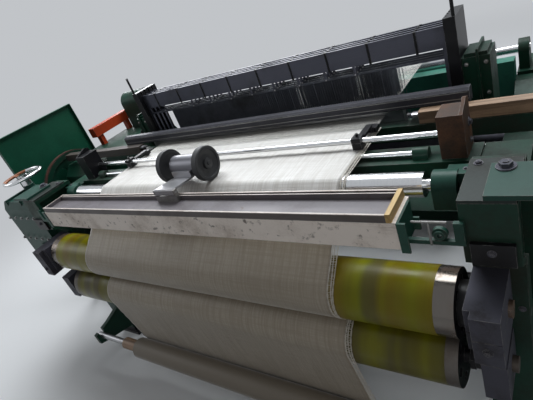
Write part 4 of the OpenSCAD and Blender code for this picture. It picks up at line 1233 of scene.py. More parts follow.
@dataclass
class ClothRun:
    """The woven glass cloth from the fell over the rollers to its roll, with its open edges."""

    dense: float = 0.621
    left: float = 0.641
    edge: float = 0.646
    gap: float = 0.0009
    thickness: float = 0.0008
    column: float = 0.0125
    thread: float = 0.0012
    weft_step: float = 0.0034
    leno: tuple[float, ...] = (0.6245, 0.6325, 0.64)
    leno_radius: float = 0.001
    wound: float = 0.0522
    layers: int = 9
    tube: float = 0.030
    tube_end: float = 0.767
    shaft: float = 0.016

    def path(self) -> LedPath:
        """The cloth's line, worked out from the rollers' boxes.

        Returns:
            The line.
        """
        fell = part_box("cloth")[1].y
        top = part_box("breast_roller")[1].z + self.gap
        rolls = [Wrap(fell, top, 0.0, 1)]
        core = 0.0525
        for node, turn, radius in (
            ("breast_roller", 1, None), ("upper_take_up_roller", 1, None), ("press_roller", -1, None),
            ("lower_take_up_roller", 1, None), ("cloth_roll", -1, core),
        ):
            rolls.append(Wrap.round(node, turn, self.gap, radius))
        return LedPath(rolls, 180.0, 207.0)

    def sheet(self) -> bpy.types.Object:
        """The dense cloth, gently rippled where nothing carries it.

        Returns:
            The piece.
        """
        rows = self.path().rows()
        maker = MeshMaker("woven_cloth")
        width = self.left + self.dense
        count = round(width / self.column)
        for y, z, a, s, free in rows:
            for i in range(count + 1):
                x = width * i / count - self.left
                broad = 0.0006 * math.sin(x * 47 + 3 * math.sin(s * 9))
                fine = 0.0004 * math.sin(x * 131 + s * 31)
                rise = min(1.0, free / 0.05) * (broad + fine)
                hem = max(0.0, 1 - min(self.dense - x, x + self.left) / 0.03)
                rise += min(1.0, free / 0.03) * hem * 0.0012 * math.sin(s * 190)
                maker.vertices.append((x, *off_line(y, z, a, rise)))
                maker.uvs.append((x, s))
        row = count + 1
        for r in range(len(rows) - 1):
            for i in range(count):
                j = r * row + i
                maker.faces.append((j, j + 1, j + row + 1, j + row))
        maker.slots = [0] * len(maker.faces)
        piece = maker.build([Palette.cloth], smooth=180)
        solid = piece.modifiers.new("thickness", "SOLIDIFY")
        solid.thickness, solid.offset = self.thickness, 0.0
        self.length = rows[-1][3]
        return piece

    def edges(self) -> bpy.types.Object:
        """Cut weft ends and leno threads beside the dense cloth, set by Geometry Nodes.

        Returns:
            The piece.
        """
        sizes = {"Reach": 0.04, "Thickness": self.thread, "Seed": SEED, "Material": Palette.edge_thread}
        tree = GeometryTree("weft_ends", sizes)
        g, ins = tree.graph, tree.ins
        line = g.out("GeometryNodeCurvePrimitiveLine", {"Start": (0, 0, 0), "End": (1, 0, 0)})
        line = g.out("GeometryNodeResampleCurve", {"Curve": line, "Count": 5})
        at = g.out("GeometryNodeInputPosition")
        wave = g.add("ShaderNodeTexNoise", {"Vector": at, "Scale": 4.0}).outputs["Color"]
        sway = g.out("ShaderNodeVectorMath", {0: wave, 1: (0.5, 0.5, 0.5)}, operation="SUBTRACT")
        sway = {0: sway, "Scale": g.times(g.parts(at)[0], 0.12)}
        sway = g.out("ShaderNodeVectorMath", sway, operation="SCALE")
        line = g.out("GeometryNodeSetPosition", {"Geometry": line, "Offset": sway})
        width = g.math("DIVIDE", ins["Thickness"], ins["Reach"])
        tube = g.sweep(line, 4, width, width)
        turn = g.out("FunctionNodeEulerToRotation", {0: g.attribute("turn", "FLOAT_VECTOR")})
        share = g.times(g.chance(0.72, 1.0, ins["Seed"]), g.attribute("reach", "FLOAT"))
        placed = g.copies(ins["Geometry"], tube, Rotation=turn, Scale=g.times(share, ins["Reach"]))
        tree.close(placed)
        dice = random.Random(SEED)
        rows = self.path().rows()
        spots, turns, reach = [], [], []
        total = rows[-1][3]
        index, s = 0, 0.004
        while s < total - 0.01:
            while rows[index + 1][3] < s:
                index += 1
            y0, z0, a, s0, _ = rows[index]
            y1, z1, _, s1, _ = rows[index + 1]
            t = (s - s0) / (s1 - s0)
            y, z = y0 + (y1 - y0) * t, z0 + (z1 - z0) * t
            for sign in (-1, 1):
                spots.append((self.dense - 0.002 if sign > 0 else 0.002 - self.left, y, z))
                lean = dice.uniform(-0.22, 0.22)
                turns.append((0.0, dice.uniform(-0.08, 0.03), lean if sign > 0 else math.pi - lean))
                reach.append(1.0 if sign > 0 else 0.15)
            s += self.weft_step * dice.uniform(0.8, 1.25)
        host = points_mesh(spots, turn=turns, reach=reach)
        piece = tree.run("cut_weft_ends", host, Reach=self.edge - self.dense)
        leno = MeshMaker("leno_threads")
        swing, lift = 0.0013, 0.0004
        for k, x in enumerate(self.leno):
            for phase in (0, math.pi):
                path = []
                for y, z, a, s, _ in rows:
                    wave = s * 130 + phase + k
                    drift = 0.0016 * math.sin(s * 17 + 2.1 * k)
                    aside = x + drift + swing * math.sin(wave)
                    path.append((aside, *off_line(y, z, a, lift * math.cos(wave))))
                leno.tube(path, self.leno_radius, 4)
        edge = leno.build([Palette.edge_thread], smooth=180)
        return self.join(piece, edge)

    @staticmethod
    def join(first: bpy.types.Object, second: bpy.types.Object) -> bpy.types.Object:
        """Joins the second object's mesh into the first one's.

        Args:
            first: the object that stays.
            second: the object that goes into it.

        Returns:
            The first object.
        """
        with bpy.context.temp_override(active_object=first, selected_editable_objects=[first, second]):
            bpy.ops.object.join()
        return first

    def roll(self) -> bpy.types.Object:
        """The wound cloth with its layered ends, its tube and its shaft.

        Returns:
            The piece.
        """
        low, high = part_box("cloth_roll")
        centre = (0.0, (low.y + high.y) / 2, (low.z + high.z) / 2)
        radius, tube, shaft, layers = self.wound, self.tube, self.shaft, self.layers
        maker = MeshMaker("wound_cloth_roll")
        end: list[tuple[float, float]] = [(-0.62, tube)]
        for k in range(layers):
            r0 = tube + (radius - tube) * k / layers
            r1 = tube + (radius - tube) * (k + 1) / layers
            out = -self.edge + 0.004 * ((k * 7) % 5) / 5 + 0.001
            end += [(out + 0.003, r0 + 0.0004), (out, r0 + 0.001)]
            end += [(out, r1 - 0.001), (out + 0.003, r1 - 0.0004)]
        body = [(-0.3, radius), (0.0, radius - 0.0004), (0.3, radius)]
        mirror = [(-x, r) for x, r in reversed(end)]
        maker.lathe(end + body + mirror, centre, steps=64)
        core = self.tube_end
        maker.lathe([(-core, 0.02), (-core, tube), (core, tube), (core, 0.02)], centre, steps=40, slot=1)
        half = [(high.x, 0), (high.x, shaft - 0.001), (high.x - 0.001, shaft)]
        maker.lathe([(-x, r) for x, r in half] + half[::-1], centre, steps=32, slot=2)
        return maker.build([Palette.cloth, Palette.laminate, Palette.steel])

    def build(self) -> None:
        """Makes the run and hides the CAD nodes that its pieces stand in for."""
        sheet, edges = self.sheet(), self.edges()
        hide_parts("cloth")
        for piece in (sheet, edges):
            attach(piece, "frame")
        roll = self.roll()
        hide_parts("cloth_roll")
        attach(roll, "cloth_roll")
        LOG.info("cloth %.2f m long", self.length)


@dataclass
class WarpRun:
    """Warp threads from the fell through reed and healds to the beam, and the yarn on the beam."""

    threads: int = 480
    width: float = 0.0013
    height: float = 0.0007
    dense: float = 0.62
    gap: float = 0.0009
    lease: float = 0.30
    reed_line: float = -0.150
    frames: int = 4
    bends: int = 14
    ribs: int = 150
    inner: float = 0.0753

    def __post_init__(self) -> None:
        """Works out the pitch and the threads' places."""
        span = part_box("warp")[1].x * 2
        self.pitch = span / self.threads
        self.places = [-span / 2 + (i + 0.5) * self.pitch for i in range(self.threads)]
        self.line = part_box("breast_roller")[1].z + self.gap
        self.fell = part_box("warp")[0].y
        self.tree = self.thread_tree()

    @staticmethod
    def thread_tree() -> GeometryTree:
        """Tree that sweeps a flat section along the host's line and sets a copy at each place.

        Returns:
            The tree.
        """
        sizes = {"Width": 0.001, "Height": 0.0005, "Sides": 6, "Material": Palette.thread}
        tree = GeometryTree("threads", {**ROW, **sizes})
        g, ins = tree.graph, tree.ins
        curve = g.out("GeometryNodeMeshToCurve", {"Mesh": ins["Geometry"]})
        curve = g.out("GeometryNodeSetCurveNormal", {"Curve": curve}, mode="Z_UP")
        placed = g.copies(tree.row(), g.sweep(curve, ins["Sides"], ins["Width"], ins["Height"]))
        return tree.close(placed)

    def lay(
        self, name: str, path: Sequence[tuple[float, float]], first: int, every: int, sides: int
    ) -> bpy.types.Object:
        """Lays every n-th thread along a path in the YZ plane.

        Args:
            name: the piece's name.
            path: y and z of the threads' line.
            first: number of the first thread.
            every: how many threads on the next one is.
            sides: faces round a thread.

        Returns:
            The piece.
        """
        chosen = [x for x in self.places[first::every] if x < self.dense]
        host = points_mesh([(0.0, y, z) for y, z in path], [(i, i + 1) for i in range(len(path) - 1)])
        row = {"Count": len(chosen), "First": chosen[0], "Step": self.pitch * every}
        piece = self.tree.run(name, host, **row, Width=self.width, Height=self.height, Sides=sides)
        return piece

    def shed(self) -> None:
        """Threads of each heald frame, in front of it and behind it, each laid straight in several steps.
        """
        for k in range(self.frames):
            node = f"heald_frame_{k + 1}"
            at = middle(node).y
            steps = self.bends
            for part, start in (("front", self.fell), ("back", self.lease)):
                path = [(start + (at - start) * i / steps, self.line) for i in range(steps + 1)]
                piece = self.lay(f"warp_{part}_{k + 1}", path, k, self.frames, 6)
                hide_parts("warp")
                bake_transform(piece)

    def back(self) -> None:
        """All threads from behind the healds over the whip roller down to the beam."""
        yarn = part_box("warp_yarn")
        radius = (yarn[1].z - yarn[0].z) / 2
        wraps = [
            Wrap(self.lease, self.line, 0.0, -1), Wrap.round("whip_roller", -1, self.gap),
            Wrap.round("warp_yarn", -1, 2.2 * self.gap, radius),
        ]
        rows = LedPath(wraps, 0.0, -110.0, step=0.09, arc=9.0).rows()
        piece = self.lay("warp_back_run", [(r[0], r[1]) for r in rows], 0, 1, 4)
        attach(piece, "frame")

    def package(self) -> None:
        """The yarn on the beam: a ribbed package between the flanges."""
        low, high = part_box("warp_yarn")
        centre = (0.0, (low.y + high.y) / 2, (low.z + high.z) / 2)
        radius = (high.z - low.z) / 2
        maker = MeshMaker("yarn_package")
        ribs, inner, reach = self.ribs, self.inner, high.x
        profile = [(-reach, inner), (-reach, radius - 0.002)]
        for i in range(ribs):
            x = -reach + 2 * reach * (i + 0.5) / ribs
            dip = 0.0012 + 0.0006 * math.sin(i * 1.7)
            profile += [(x - reach / ribs * 0.9, radius - dip), (x, radius)]
        profile += [(reach, radius - 0.002), (reach, inner)]
        maker.lathe(profile, centre, steps=96)
        maker.lathe([(reach, inner), (-reach, inner)], centre, steps=96)
        piece = maker.build([Palette.thread], smooth=60)
        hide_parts("warp_yarn")
        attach(piece, "warp_beam")

    def build(self) -> None:
        """Makes the whole warp."""
        self.shed()
        self.back()
        self.package()


@dataclass
class Harness(Assembly):
    """Dense healds, hook screws, rail straps and worn rails of the heald frames."""

    warp: WarpRun
    heald_t: float = 0.0008
    heald_w: float = 0.0055
    eye: float = 0.006
    rail: float = 0.077
    bar: float = 0.009
    rider: float = 0.030
    hooks: int = 8
    hook_pitch: float = 0.134
    straps: int = 9
    strap_pitch: float = 0.134 * 1.35

    def heald_tree(self) -> GeometryTree:
        """Tree that sets flat healds with an eye in a row.

        Returns:
            The tree.
        """
        sizes = {"Level": 0.98, "Low": 0.8, "High": 1.1, "Depth": 0.0, "Drift": 0.0005, "Turn": 0.3}
        tree = GeometryTree("healds", {**ROW, **sizes, "Material": Palette.heald})
        g, ins = tree.graph, tree.ins
        half = self.eye / 2
        parts = []
        for a, b in ((ins["Low"], g.minus(ins["Level"], half)), (g.plus(ins["Level"], half), ins["High"])):
            size = g.point(self.heald_t, self.heald_w, g.minus(b, a))
            strip = g.out("GeometryNodeMeshCube", {"Size": size})
            parts.append(g.moved(strip, g.point(z=g.times(g.plus(a, b), 0.5))))
        ring = {"Curve": g.circle(10, half), "Profile Curve": g.circle(4, 0.0004)}
        ring = g.out("GeometryNodeCurveToMesh", ring)
        level = g.point(z=ins["Level"])
        parts.append(g.moved(ring, level, Rotation=(0.0, math.pi / 2, 0.0), Scale=(1.0, 0.5, 1.0)))
        aside = g.point(g.times(g.chance(-1.0, 1.0, SEED), ins["Drift"]))
        row = g.out("GeometryNodeSetPosition", {"Geometry": tree.row(ins["Depth"]), "Offset": aside})
        spin = g.point(z=g.times(g.chance(-1.0, 1.0, SEED + 1), ins["Turn"]))
        turn = g.out("FunctionNodeEulerToRotation", {0: spin})
        placed = g.copies(row, g.join(parts), Rotation=turn)
        return tree.close(placed)

    def build(self) -> None:
        """Fills and dresses the heald frames."""
        tree = self.heald_tree()
        for k in range(self.warp.frames):
            node = f"heald_frame_{k + 1}"
            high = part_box(node)[1]
            y = middle(node).y
            top = high.z - self.rail - self.rider - self.bar
            bottom = 2 * (self.warp.line - self.warp.gap) - top
            chosen = [x for x in self.warp.places[k :: self.warp.frames] if x < self.warp.dense]
            first, count, pitch = chosen[0], len(chosen), self.warp.pitch
            step = pitch * self.warp.frames
            sizes = {"Level": self.warp.line, "Low": bottom - self.bar, "High": top + self.bar, "Depth": y}
            threaded = {"Count": count, "First": first, "Step": step}
            spare = {"Count": 2 * count - 1, "First": first + pitch / 2, "Step": step / 2}
            spare.update(Drift=0.0, Turn=0.06)
            for kind, row in (("healds", threaded), ("spare_healds", spare)):
                healds = tree.run(f"{kind}_{k + 1}", points_mesh(), **row, **sizes)
                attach(healds, node)

            def zone(centre: Vector, normal: Vector, top: float = top, bottom: float = bottom) -> int:
                """Steel between the rider rods, alloy on the rails."""
                inside = bottom - 0.01 < centre.z < top + 0.01
                return 1 if inside and abs(centre.x) < 0.65 else 0

            self.nodes.zones(node, [Palette.slate, Palette.heald], zone)
            hook_z = high.z - self.rail - self.rider - self.bar / 2
            columns = [(i - (self.hooks - 1) / 2) * self.hook_pitch for i in range(self.hooks)]
            spots = grid(columns, [y - 0.003], [hook_z], (0, -1, 0), 0.003)
            self.screws.set(f"hook_screws_{k + 1}", node, spots, Palette.steel, sides=8)
            straps = MeshMaker(f"rail_straps_{k + 1}")
            front, over = y - 0.0066, high.z + 0.0012
            for i in range(self.straps):
                x = (i - self.straps // 2) * self.strap_pitch
                straps.box((x - 0.005, front, high.z - self.rail - 0.004), (x + 0.005, y - 0.005, over))
                straps.box((x - 0.005, front, high.z), (x + 0.005, y + 0.0066, over))
            piece = straps.build([Palette.black], bevel=0.0004)
            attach(piece, node)


@dataclass
class Sley(Assembly):
    """Dense reed, dressed cap and guides, and the rapiers' tapes."""

    warp: WarpRun
    wire: float = 0.0005
    foot: float = 0.022
    head: float = 0.014
    side: float = 0.010
    half: float = 0.005

    def reed(self) -> None:
        """Reed wires by Geometry Nodes, with the foot and the head of the reed."""
        sizes = {"Width": 0.001, "Depth": 0.005, "Height": 0.06, "Place": 0.0, "Level": 0.0}
        tree = GeometryTree("reed_wires", {**ROW, **sizes, "Material": Palette.steel})
        g, ins = tree.graph, tree.ins
        size = g.point(ins["Width"], ins["Depth"], ins["Height"])
        wire = g.out("GeometryNodeMeshCube", {"Size": size})
        placed = g.copies(tree.row(ins["Place"], ins["Level"]), wire)
        tree.close(placed)
        low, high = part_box("reed")
        y = (low.y + high.y) / 2
        foot, head = low.z + self.foot, high.z - self.head
        pitch = self.warp.pitch
        count = int(2 * (high.x - 0.012) / pitch)
        row = {"Count": count + 1, "First": -count * pitch / 2, "Step": pitch}
        sizes = {"Width": self.wire, "Height": head - foot + 0.004, "Place": y, "Level": (head + foot) / 2}
        wires = tree.run("reed_wires", points_mesh(), **row, **sizes)
        baulk = MeshMaker("reed_baulks")
        baulk.box((low.x, low.y, low.z), (high.x, high.y, foot))
        baulk.box((low.x, y - self.half, head), (high.x, y + self.half, high.z))
        for s in (-1, 1):
            a, b = across(s, high.x, high.x - self.side)
            baulk.box((a, y - self.half, foot), (b, y + self.half, head))
        frame = baulk.build([Palette.steel], bevel=0.001)
        for piece in (wires, frame):
            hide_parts("reed")
            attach(piece, "sley")

    def build(self) -> None:
        """Makes the reed and dresses the sley and the rapiers."""
        self.reed()
        self.nodes.dress(Palette.green, "sley_beam")
        self.nodes.dress(Palette.cap, "reed_cap")
        self.nodes.zones("rapier_guides", [Palette.laminate, Palette.oily], on_left)
        self.nodes.dress(Palette.black, "rocking_shaft")
        self.nodes.dress(Palette.flat_bar, "left_rapier", "right_rapier")
        low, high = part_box("reed_cap")
        trim = MeshMaker("cap_trims")
        for z in (high.z - 0.012, low.z + 0.014):
            corner = (high.x - 0.004, low.y + 0.0004, z + 0.0012)
            trim.box((low.x + 0.004, low.y - 0.0008, z - 0.0012), corner)
        piece = trim.build([Palette.zinc], bevel=0.0002)
        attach(piece, "sley")


@dataclass
class TakeUp(Assembly):
    """Coated rollers with their end rings, press roller and bearing blocks."""

    coat_end: float = 0.911
    coat_radius: float = 0.06
    ring_radius: float = 0.0885
    hub_end: float = 0.985
    plate: float = 0.063

    def build(self) -> None:
        """Dresses the take-up motion."""
        for node, coat, ring in (
            ("upper_take_up_roller", Palette.coat_upper, Palette.bright),
            ("lower_take_up_roller", Palette.coat_lower, Palette.dull_ring),
        ):
            centre = middle(node)

            def zone(at: Vector, normal: Vector, centre: Vector = centre) -> int:
                """Coat inside, turned ring outside it, dark steel on hub and shaft.

                Args:
                    at: the face's middle.
                    normal: the face's normal.
                    centre: the roller's centre.

                Returns:
                    Number of the finish.
                """
                radius = math.hypot(at.y - centre.y, at.z - centre.z)
                if abs(at.x) < self.coat_end + 0.0004 and radius > self.coat_radius:
                    return 0
                return 1 if radius > self.ring_radius or abs(at.x) > self.hub_end else 2

            self.nodes.zones(node, [coat, ring, Palette.black], zone)
        self.nodes.dress(Palette.steel, "press_roller")
        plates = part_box("take_up_bearing_blocks")[1].z - self.plate

        def block_zone(at: Vector, normal: Vector) -> int:
            """Grey blocks, dark plates above them."""
            return 1 if at.z > plates else 0

        self.nodes.zones("take_up_bearing_blocks", [Palette.casting, Palette.black], block_zone)


@dataclass
class Breast(Assembly):
    """Breast beam, tool tray, breast roller, guide bar and temples."""

    rim: float = 0.0062
    trim: float = 0.0012
    proud: float = 0.0004

    def build(self) -> None:
        """Dresses the breast beam and all that stands by it."""
        self.nodes.dress(Palette.beam, "breast_beam")
        self.nodes.dress(Palette.bracket, "breast_beam_brackets")
        low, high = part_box("side_cover_plates")

        def plate_zone(at: Vector, normal: Vector) -> int:
            """Grey lower plate, teal upper plate."""
            return 1 if at.z < (low.z + high.z) / 2 - 0.001 else 0

        self.nodes.zones("side_cover_plates", [Palette.teal, Palette.plate], plate_zone)
        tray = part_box("tool_tray")

        def tray_zone(at: Vector, normal: Vector) -> int:
            """Pale rim tops, brown front, grey floor.

            Args:
                at: the face's middle.
                normal: the face's normal.

            Returns:
                Number of the finish.
            """
            if normal.z > 0.5 and at.z > tray[1].z - 0.001:
                return 1
            return 2 if normal.y < -0.5 and at.y < tray[0].y + 0.002 else 0

        self.nodes.zones("tool_tray", [Palette.tray, Palette.rim, Palette.rim_front], tray_zone)
        self.tray_trims(tray)
        self.nodes.dress(Palette.board, "tray_end_board")
        self.nodes.dress(Palette.zinc, "tee_key")
        self.nodes.dress(Palette.casting, "frame_bolts")
        self.nodes.dress(Palette.bracket, "breast_roller_bearings")
        self.nodes.dress(Palette.green, "front_cross_beam")
        self.nodes.dress(Palette.chrome, "breast_roller", "guide_bar", "temple_bar")
        self.nodes.zones("temple_bar_brackets", [Palette.rust, Palette.black], on_left)
        self.nodes.dress(Palette.black, "temples")

    def tray_trims(self, tray: tuple[Vector, Vector]) -> None:
        """Pale strips along the tops of the tray's long rims.

        Args:
            tray: the tray's box.
        """
        low, high = tray
        maker = MeshMaker("tray_trims")
        front, back = (low.y - self.proud, low.y + self.rim), (high.y - self.rim, high.y + self.proud)
        for y0, y1 in (front, back):
            maker.box((low.x, y0, high.z - self.trim), (high.x, y1, high.z + self.trim))
        piece = maker.build([Palette.rim], bevel=0.0004)
        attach(piece, "frame")


@dataclass
class Counter(Assembly):
    """Cloth measuring counter: two rubber wheels, its barrel and its bent arm."""

    barrel: float = 0.0405

    def build(self) -> None:
        """Dresses the counter."""
        self.nodes.dress(Palette.wheel, "counter_wheels")
        hub = middle("counter_wheels")

        def zone(at: Vector, normal: Vector) -> int:
            """Dark register barrel, bright flat arm."""
            return 1 if math.hypot(at.y - hub.y, at.z - hub.z) < self.barrel else 0

        self.nodes.zones("counter_arm", [Palette.flat_bar, Palette.barrel], zone)
        self.nodes.dress(Palette.zinc, "counter_bracket")


@dataclass
class Frame(Assembly):
    """Side frames, beams, bearings and feet."""

    bolt: float = 0.006
    foot_bolt: float = 0.009
    foot_top: float = 0.818
    front_columns: tuple[float, ...] = (0.884, 0.946)
    front_rows: tuple[float, ...] = (0.84, 0.96, 1.07)
    hub_bolts: int = 8
    hub_circle: float = 0.066

    def build(self) -> None:
        """Dresses the frame."""
        self.nodes.dress(
            Palette.green, "left_side_frame", "right_side_frame", "harness_guide_beam",
            "cloth_roll_brackets", "rocking_shaft_bearings", "harness_housings", "whip_roller_brackets",
            "warp_beam_bearings",
        )
        self.nodes.dress(Palette.bright_green, "rear_cross_beam")
        self.nodes.dress(Palette.black, "machine_feet", "heald_guides")
        self.nodes.dress(Palette.chrome, "whip_roller")
        self.nodes.dress(Palette.casting, "warp_beam")
        self.housing_bolts()
        self.beam_bolts()

    def housing_bolts(self) -> None:
        """Bolts on the fronts and feet of the harness housings and on the whip roller's caps."""
        low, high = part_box("harness_housings")
        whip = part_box("whip_roller_brackets")
        up = (0, 0, 1)
        feet = (low.y + 0.03, high.y - 0.03)
        caps = (whip[0].y + 0.014, whip[1].y - 0.014)
        spots = []
        for side in (-1, 1):
            columns = [side * x for x in self.front_columns]
            spots += grid(columns, [low.y + 0.007], self.front_rows, (0, -1, 0), self.bolt)
            spots += grid([side * (high.x - 0.018)], feet, [self.foot_top], up, self.foot_bolt)
            spots += grid([side * (whip[1].x - 0.03)], caps, [whip[0].z + 0.014], up, self.foot_bolt)
        self.screws.set("housing_bolts", "frame", spots, Palette.zinc)

    def beam_bolts(self) -> None:
        """Hexagon bolts round the hubs of the warp beam, which turn with it."""
        _, y, z = middle("warp_beam")
        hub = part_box("warp_yarn")[1].x + 0.06
        spots = []
        for side in (-1, 1):
            for i in range(self.hub_bolts):
                a = 2 * math.pi * (i + 0.5) / self.hub_bolts
                place = (side * hub, y + self.hub_circle * math.cos(a), z + self.hub_circle * math.sin(a))
                spots.append((place, (side, 0, 0), self.foot_bolt))
        self.screws.set("beam_bolts", "warp_beam", spots, Palette.zinc)


@dataclass
class Drive(Assembly):
    """Drive units, flywheel, motor, guards and the take-up gearbox."""

    sheet: float = 0.004
    screw: float = 0.006
    screw_rim: float = 0.02
    handle: float = 0.005
    louvres: int = 8
    louvre_pitch: float = 0.045
    louvre_height: float = 0.026
    rivet: float = 0.004
    guard_base: float = 0.56
    guard_front: float = -0.548
    spokes: int = 12
    spoke: float = 0.003
    doors: tuple[tuple[float, float, float, float], ...] = (
        (-0.036, 0.336, 0.144, 0.556),
        (0.034, 0.296, 0.624, 0.856),
    )

    def covers(self, side: int) -> None:
        """Doors, front cover, louvres, handles and filler cap of one drive unit.

        Args:
            side: +1 for the right unit, -1 for the left one.
        """
        name = "right" if side > 0 else "left"
        low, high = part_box("right_drive_unit")
        inner, outer = low.x, high.x
        maker = MeshMaker(f"{name}_unit_covers")
        spots, size, rim = [], self.screw, self.screw_rim
        for y0, y1, z0, z1 in self.doors:
            a, b = across(side, outer - 0.008, outer + 0.002)
            maker.box((a, y0, z0), (b, y1, z1))
            columns, rows = (y0 + rim, (y0 + y1) / 2, y1 - rim), (z0 + rim, z1 - rim)
            spots += grid([side * (outer + 0.002)], columns, rows, (side, 0, 0), size)
            x, z = side * (outer + 0.001), (z0 + z1) / 2
            bend = ((0.0, -0.04), (0.024, -0.034), (0.024, 0.034), (0.0, 0.04))
            maker.tube([(x + side * out, y0 + 0.03, z + up) for out, up in bend], self.handle, 10, 1)
        base = 0.16 if side > 0 else 0.46
        a, b = across(side, inner + 0.08, outer - 0.06)
        maker.box((a, low.y - self.sheet, base), (b, low.y + 0.001, 0.85))
        columns = (a + rim, (a + b) / 2, b - rim)
        spots += grid(columns, [low.y - self.sheet], (base + rim, 0.83), (0, -1, 0), size)
        a, b = across(side, inner + 0.1, outer - 0.1)
        near, far = high.y + 0.002, high.y + 0.009
        maker.box((a - 0.03, high.y - 0.001, 0.2), (b + 0.03, near, 0.62))
        for i in range(self.louvres):
            z = 0.24 + self.louvre_pitch * i
            louvre = [(a, near, z), (b, near, z), (b, far, z), (a, far, z)]
            louvre += [(x, near, z + self.louvre_height) for x in (a, b)]
            maker.add(louvre, [(3, 2, 1, 0), (0, 1, 5, 4), (2, 3, 4, 5), (0, 4, 3), (1, 2, 5)])
        spots += grid((a - rim, b + rim), [near], (0.22, 0.60), (0, 1, 0), size)
        cap = (side * (inner + 0.09), 0.12, high.z)
        knob = [(-0.002, 0.0), (-0.002, 0.026), (0.006, 0.026), (0.006, 0.018), (0.02, 0.018)]
        maker.lathe(knob + [(0.022, 0.015), (0.022, 0.0)], cap, Axis.Z, 24, 1)
        piece = maker.build([Palette.green, Palette.black], bevel=0.0012)
        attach(piece, "frame")
        self.screws.set(f"{name}_unit_screws", "frame", spots, Palette.zinc, sides=12)

    def guard_rivets(self) -> None:
        """Rivets along the folded edges of both end guards."""
        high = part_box("end_guards")[1]
        base, front, size = self.guard_base, self.guard_front, self.rivet
        spots = []
        for side in (-1, 1):
            x, out = [side * high.x], (side, 0, 0)
            for z in (base + 0.012, high.z - 0.012):
                spots += grid(x, [front + k * 0.111 for k in range(6)], [z], out, size)
            spots += grid(x, (front, 0.007), [base + k * 0.142 for k in range(1, 5)], out, size)
        self.screws.set("guard_rivets", "frame", spots, Palette.guard, sides=12, slot="guard_paint")

    def motor_parts(self) -> None:
        """Terminal box with its lid screws and fan cowl of the motor."""
        low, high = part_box("motor")
        y, z = middle("motor_pulley").y, (low.z + high.z) / 2
        maker = MeshMaker("motor_fittings")
        maker.box((low.x + 0.08, y - 0.035, z + 0.07), (low.x + 0.17, y + 0.035, z + 0.118))
        maker.box((low.x + 0.077, y - 0.038, z + 0.118), (low.x + 0.173, y + 0.038, z + 0.124))
        end = high.x
        cowl = [(-0.05, 0.086), (-0.006, 0.09), (0.004, 0.082), (0.006, 0.03), (0.006, 0.0)]
        maker.lathe(cowl, (end, y, z), Axis.X, 40)
        for i in range(self.spokes):
            a = 2 * math.pi * i / self.spokes
            c, s = math.cos(a), math.sin(a)
            spoke = [(end + out, y + r * c, z + r * s) for out, r in ((0.006, 0.03), (0.005, 0.078))]
            maker.tube(spoke, self.spoke, 6, 1)
        piece = maker.build([Palette.motor, Palette.black], bevel=0.0012)
        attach(piece, "frame")
        x = low.x + 0.125
        spots = grid((x - 0.04, x + 0.04), (y - 0.03, y + 0.03), [z + 0.124], (0, 0, 1), 0.003)
        self.screws.set("motor_screws", "frame", spots, Palette.zinc)

    def gearbox_screws(self) -> None:
        """Cover screws on the front and the end of the take-up gearbox."""
        low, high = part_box("take_up_gearbox")
        rim, size = 0.03, 0.007
        columns = [low.x + rim + k * 0.07 for k in range(5)]
        spots = grid(columns, [low.y], (0.90, 0.76), (0, -1, 0), size)
        columns = (low.y + rim, (low.y + high.y) / 2, high.y - rim)
        spots += grid([low.x], columns, (0.67, 0.90), (-1, 0, 0), size)
        self.screws.set("gearbox_screws", "frame", spots, Palette.zinc)

    def build(self) -> None:
        """Dresses the drive."""
        self.nodes.dress(Palette.green, "left_drive_unit", "right_drive_unit", "flywheel")
        self.nodes.dress(Palette.guard, "end_guards")
        self.nodes.dress(Palette.lining, "brake_band")
        self.nodes.dress(Palette.belt, "drive_belt")
        self.nodes.dress(Palette.motor, "motor")
        self.nodes.dress(Palette.bright, "motor_pulley")
        self.nodes.dress(Palette.orange, "top_bar")
        self.nodes.dress(Palette.teal, "take_up_gearbox")
        wheel = middle("hand_wheel")

        def grip_zone(at: Vector, normal: Vector) -> int:
            """A brown grip on part of the rim.

            Args:
                at: the face's middle.
                normal: the face's normal.

            Returns:
                Number of the finish.
            """
            away = at - wheel
            reach = away.length
            return int(reach > 0.07 and away.x < -0.35 * reach and away.y < 0.5 * reach)

        self.nodes.zones("hand_wheel", [Palette.chrome, Palette.grip], grip_zone)
        for side in (-1, 1):
            self.covers(side)
        self.guard_rivets()
        self.motor_parts()
        self.gearbox_screws()


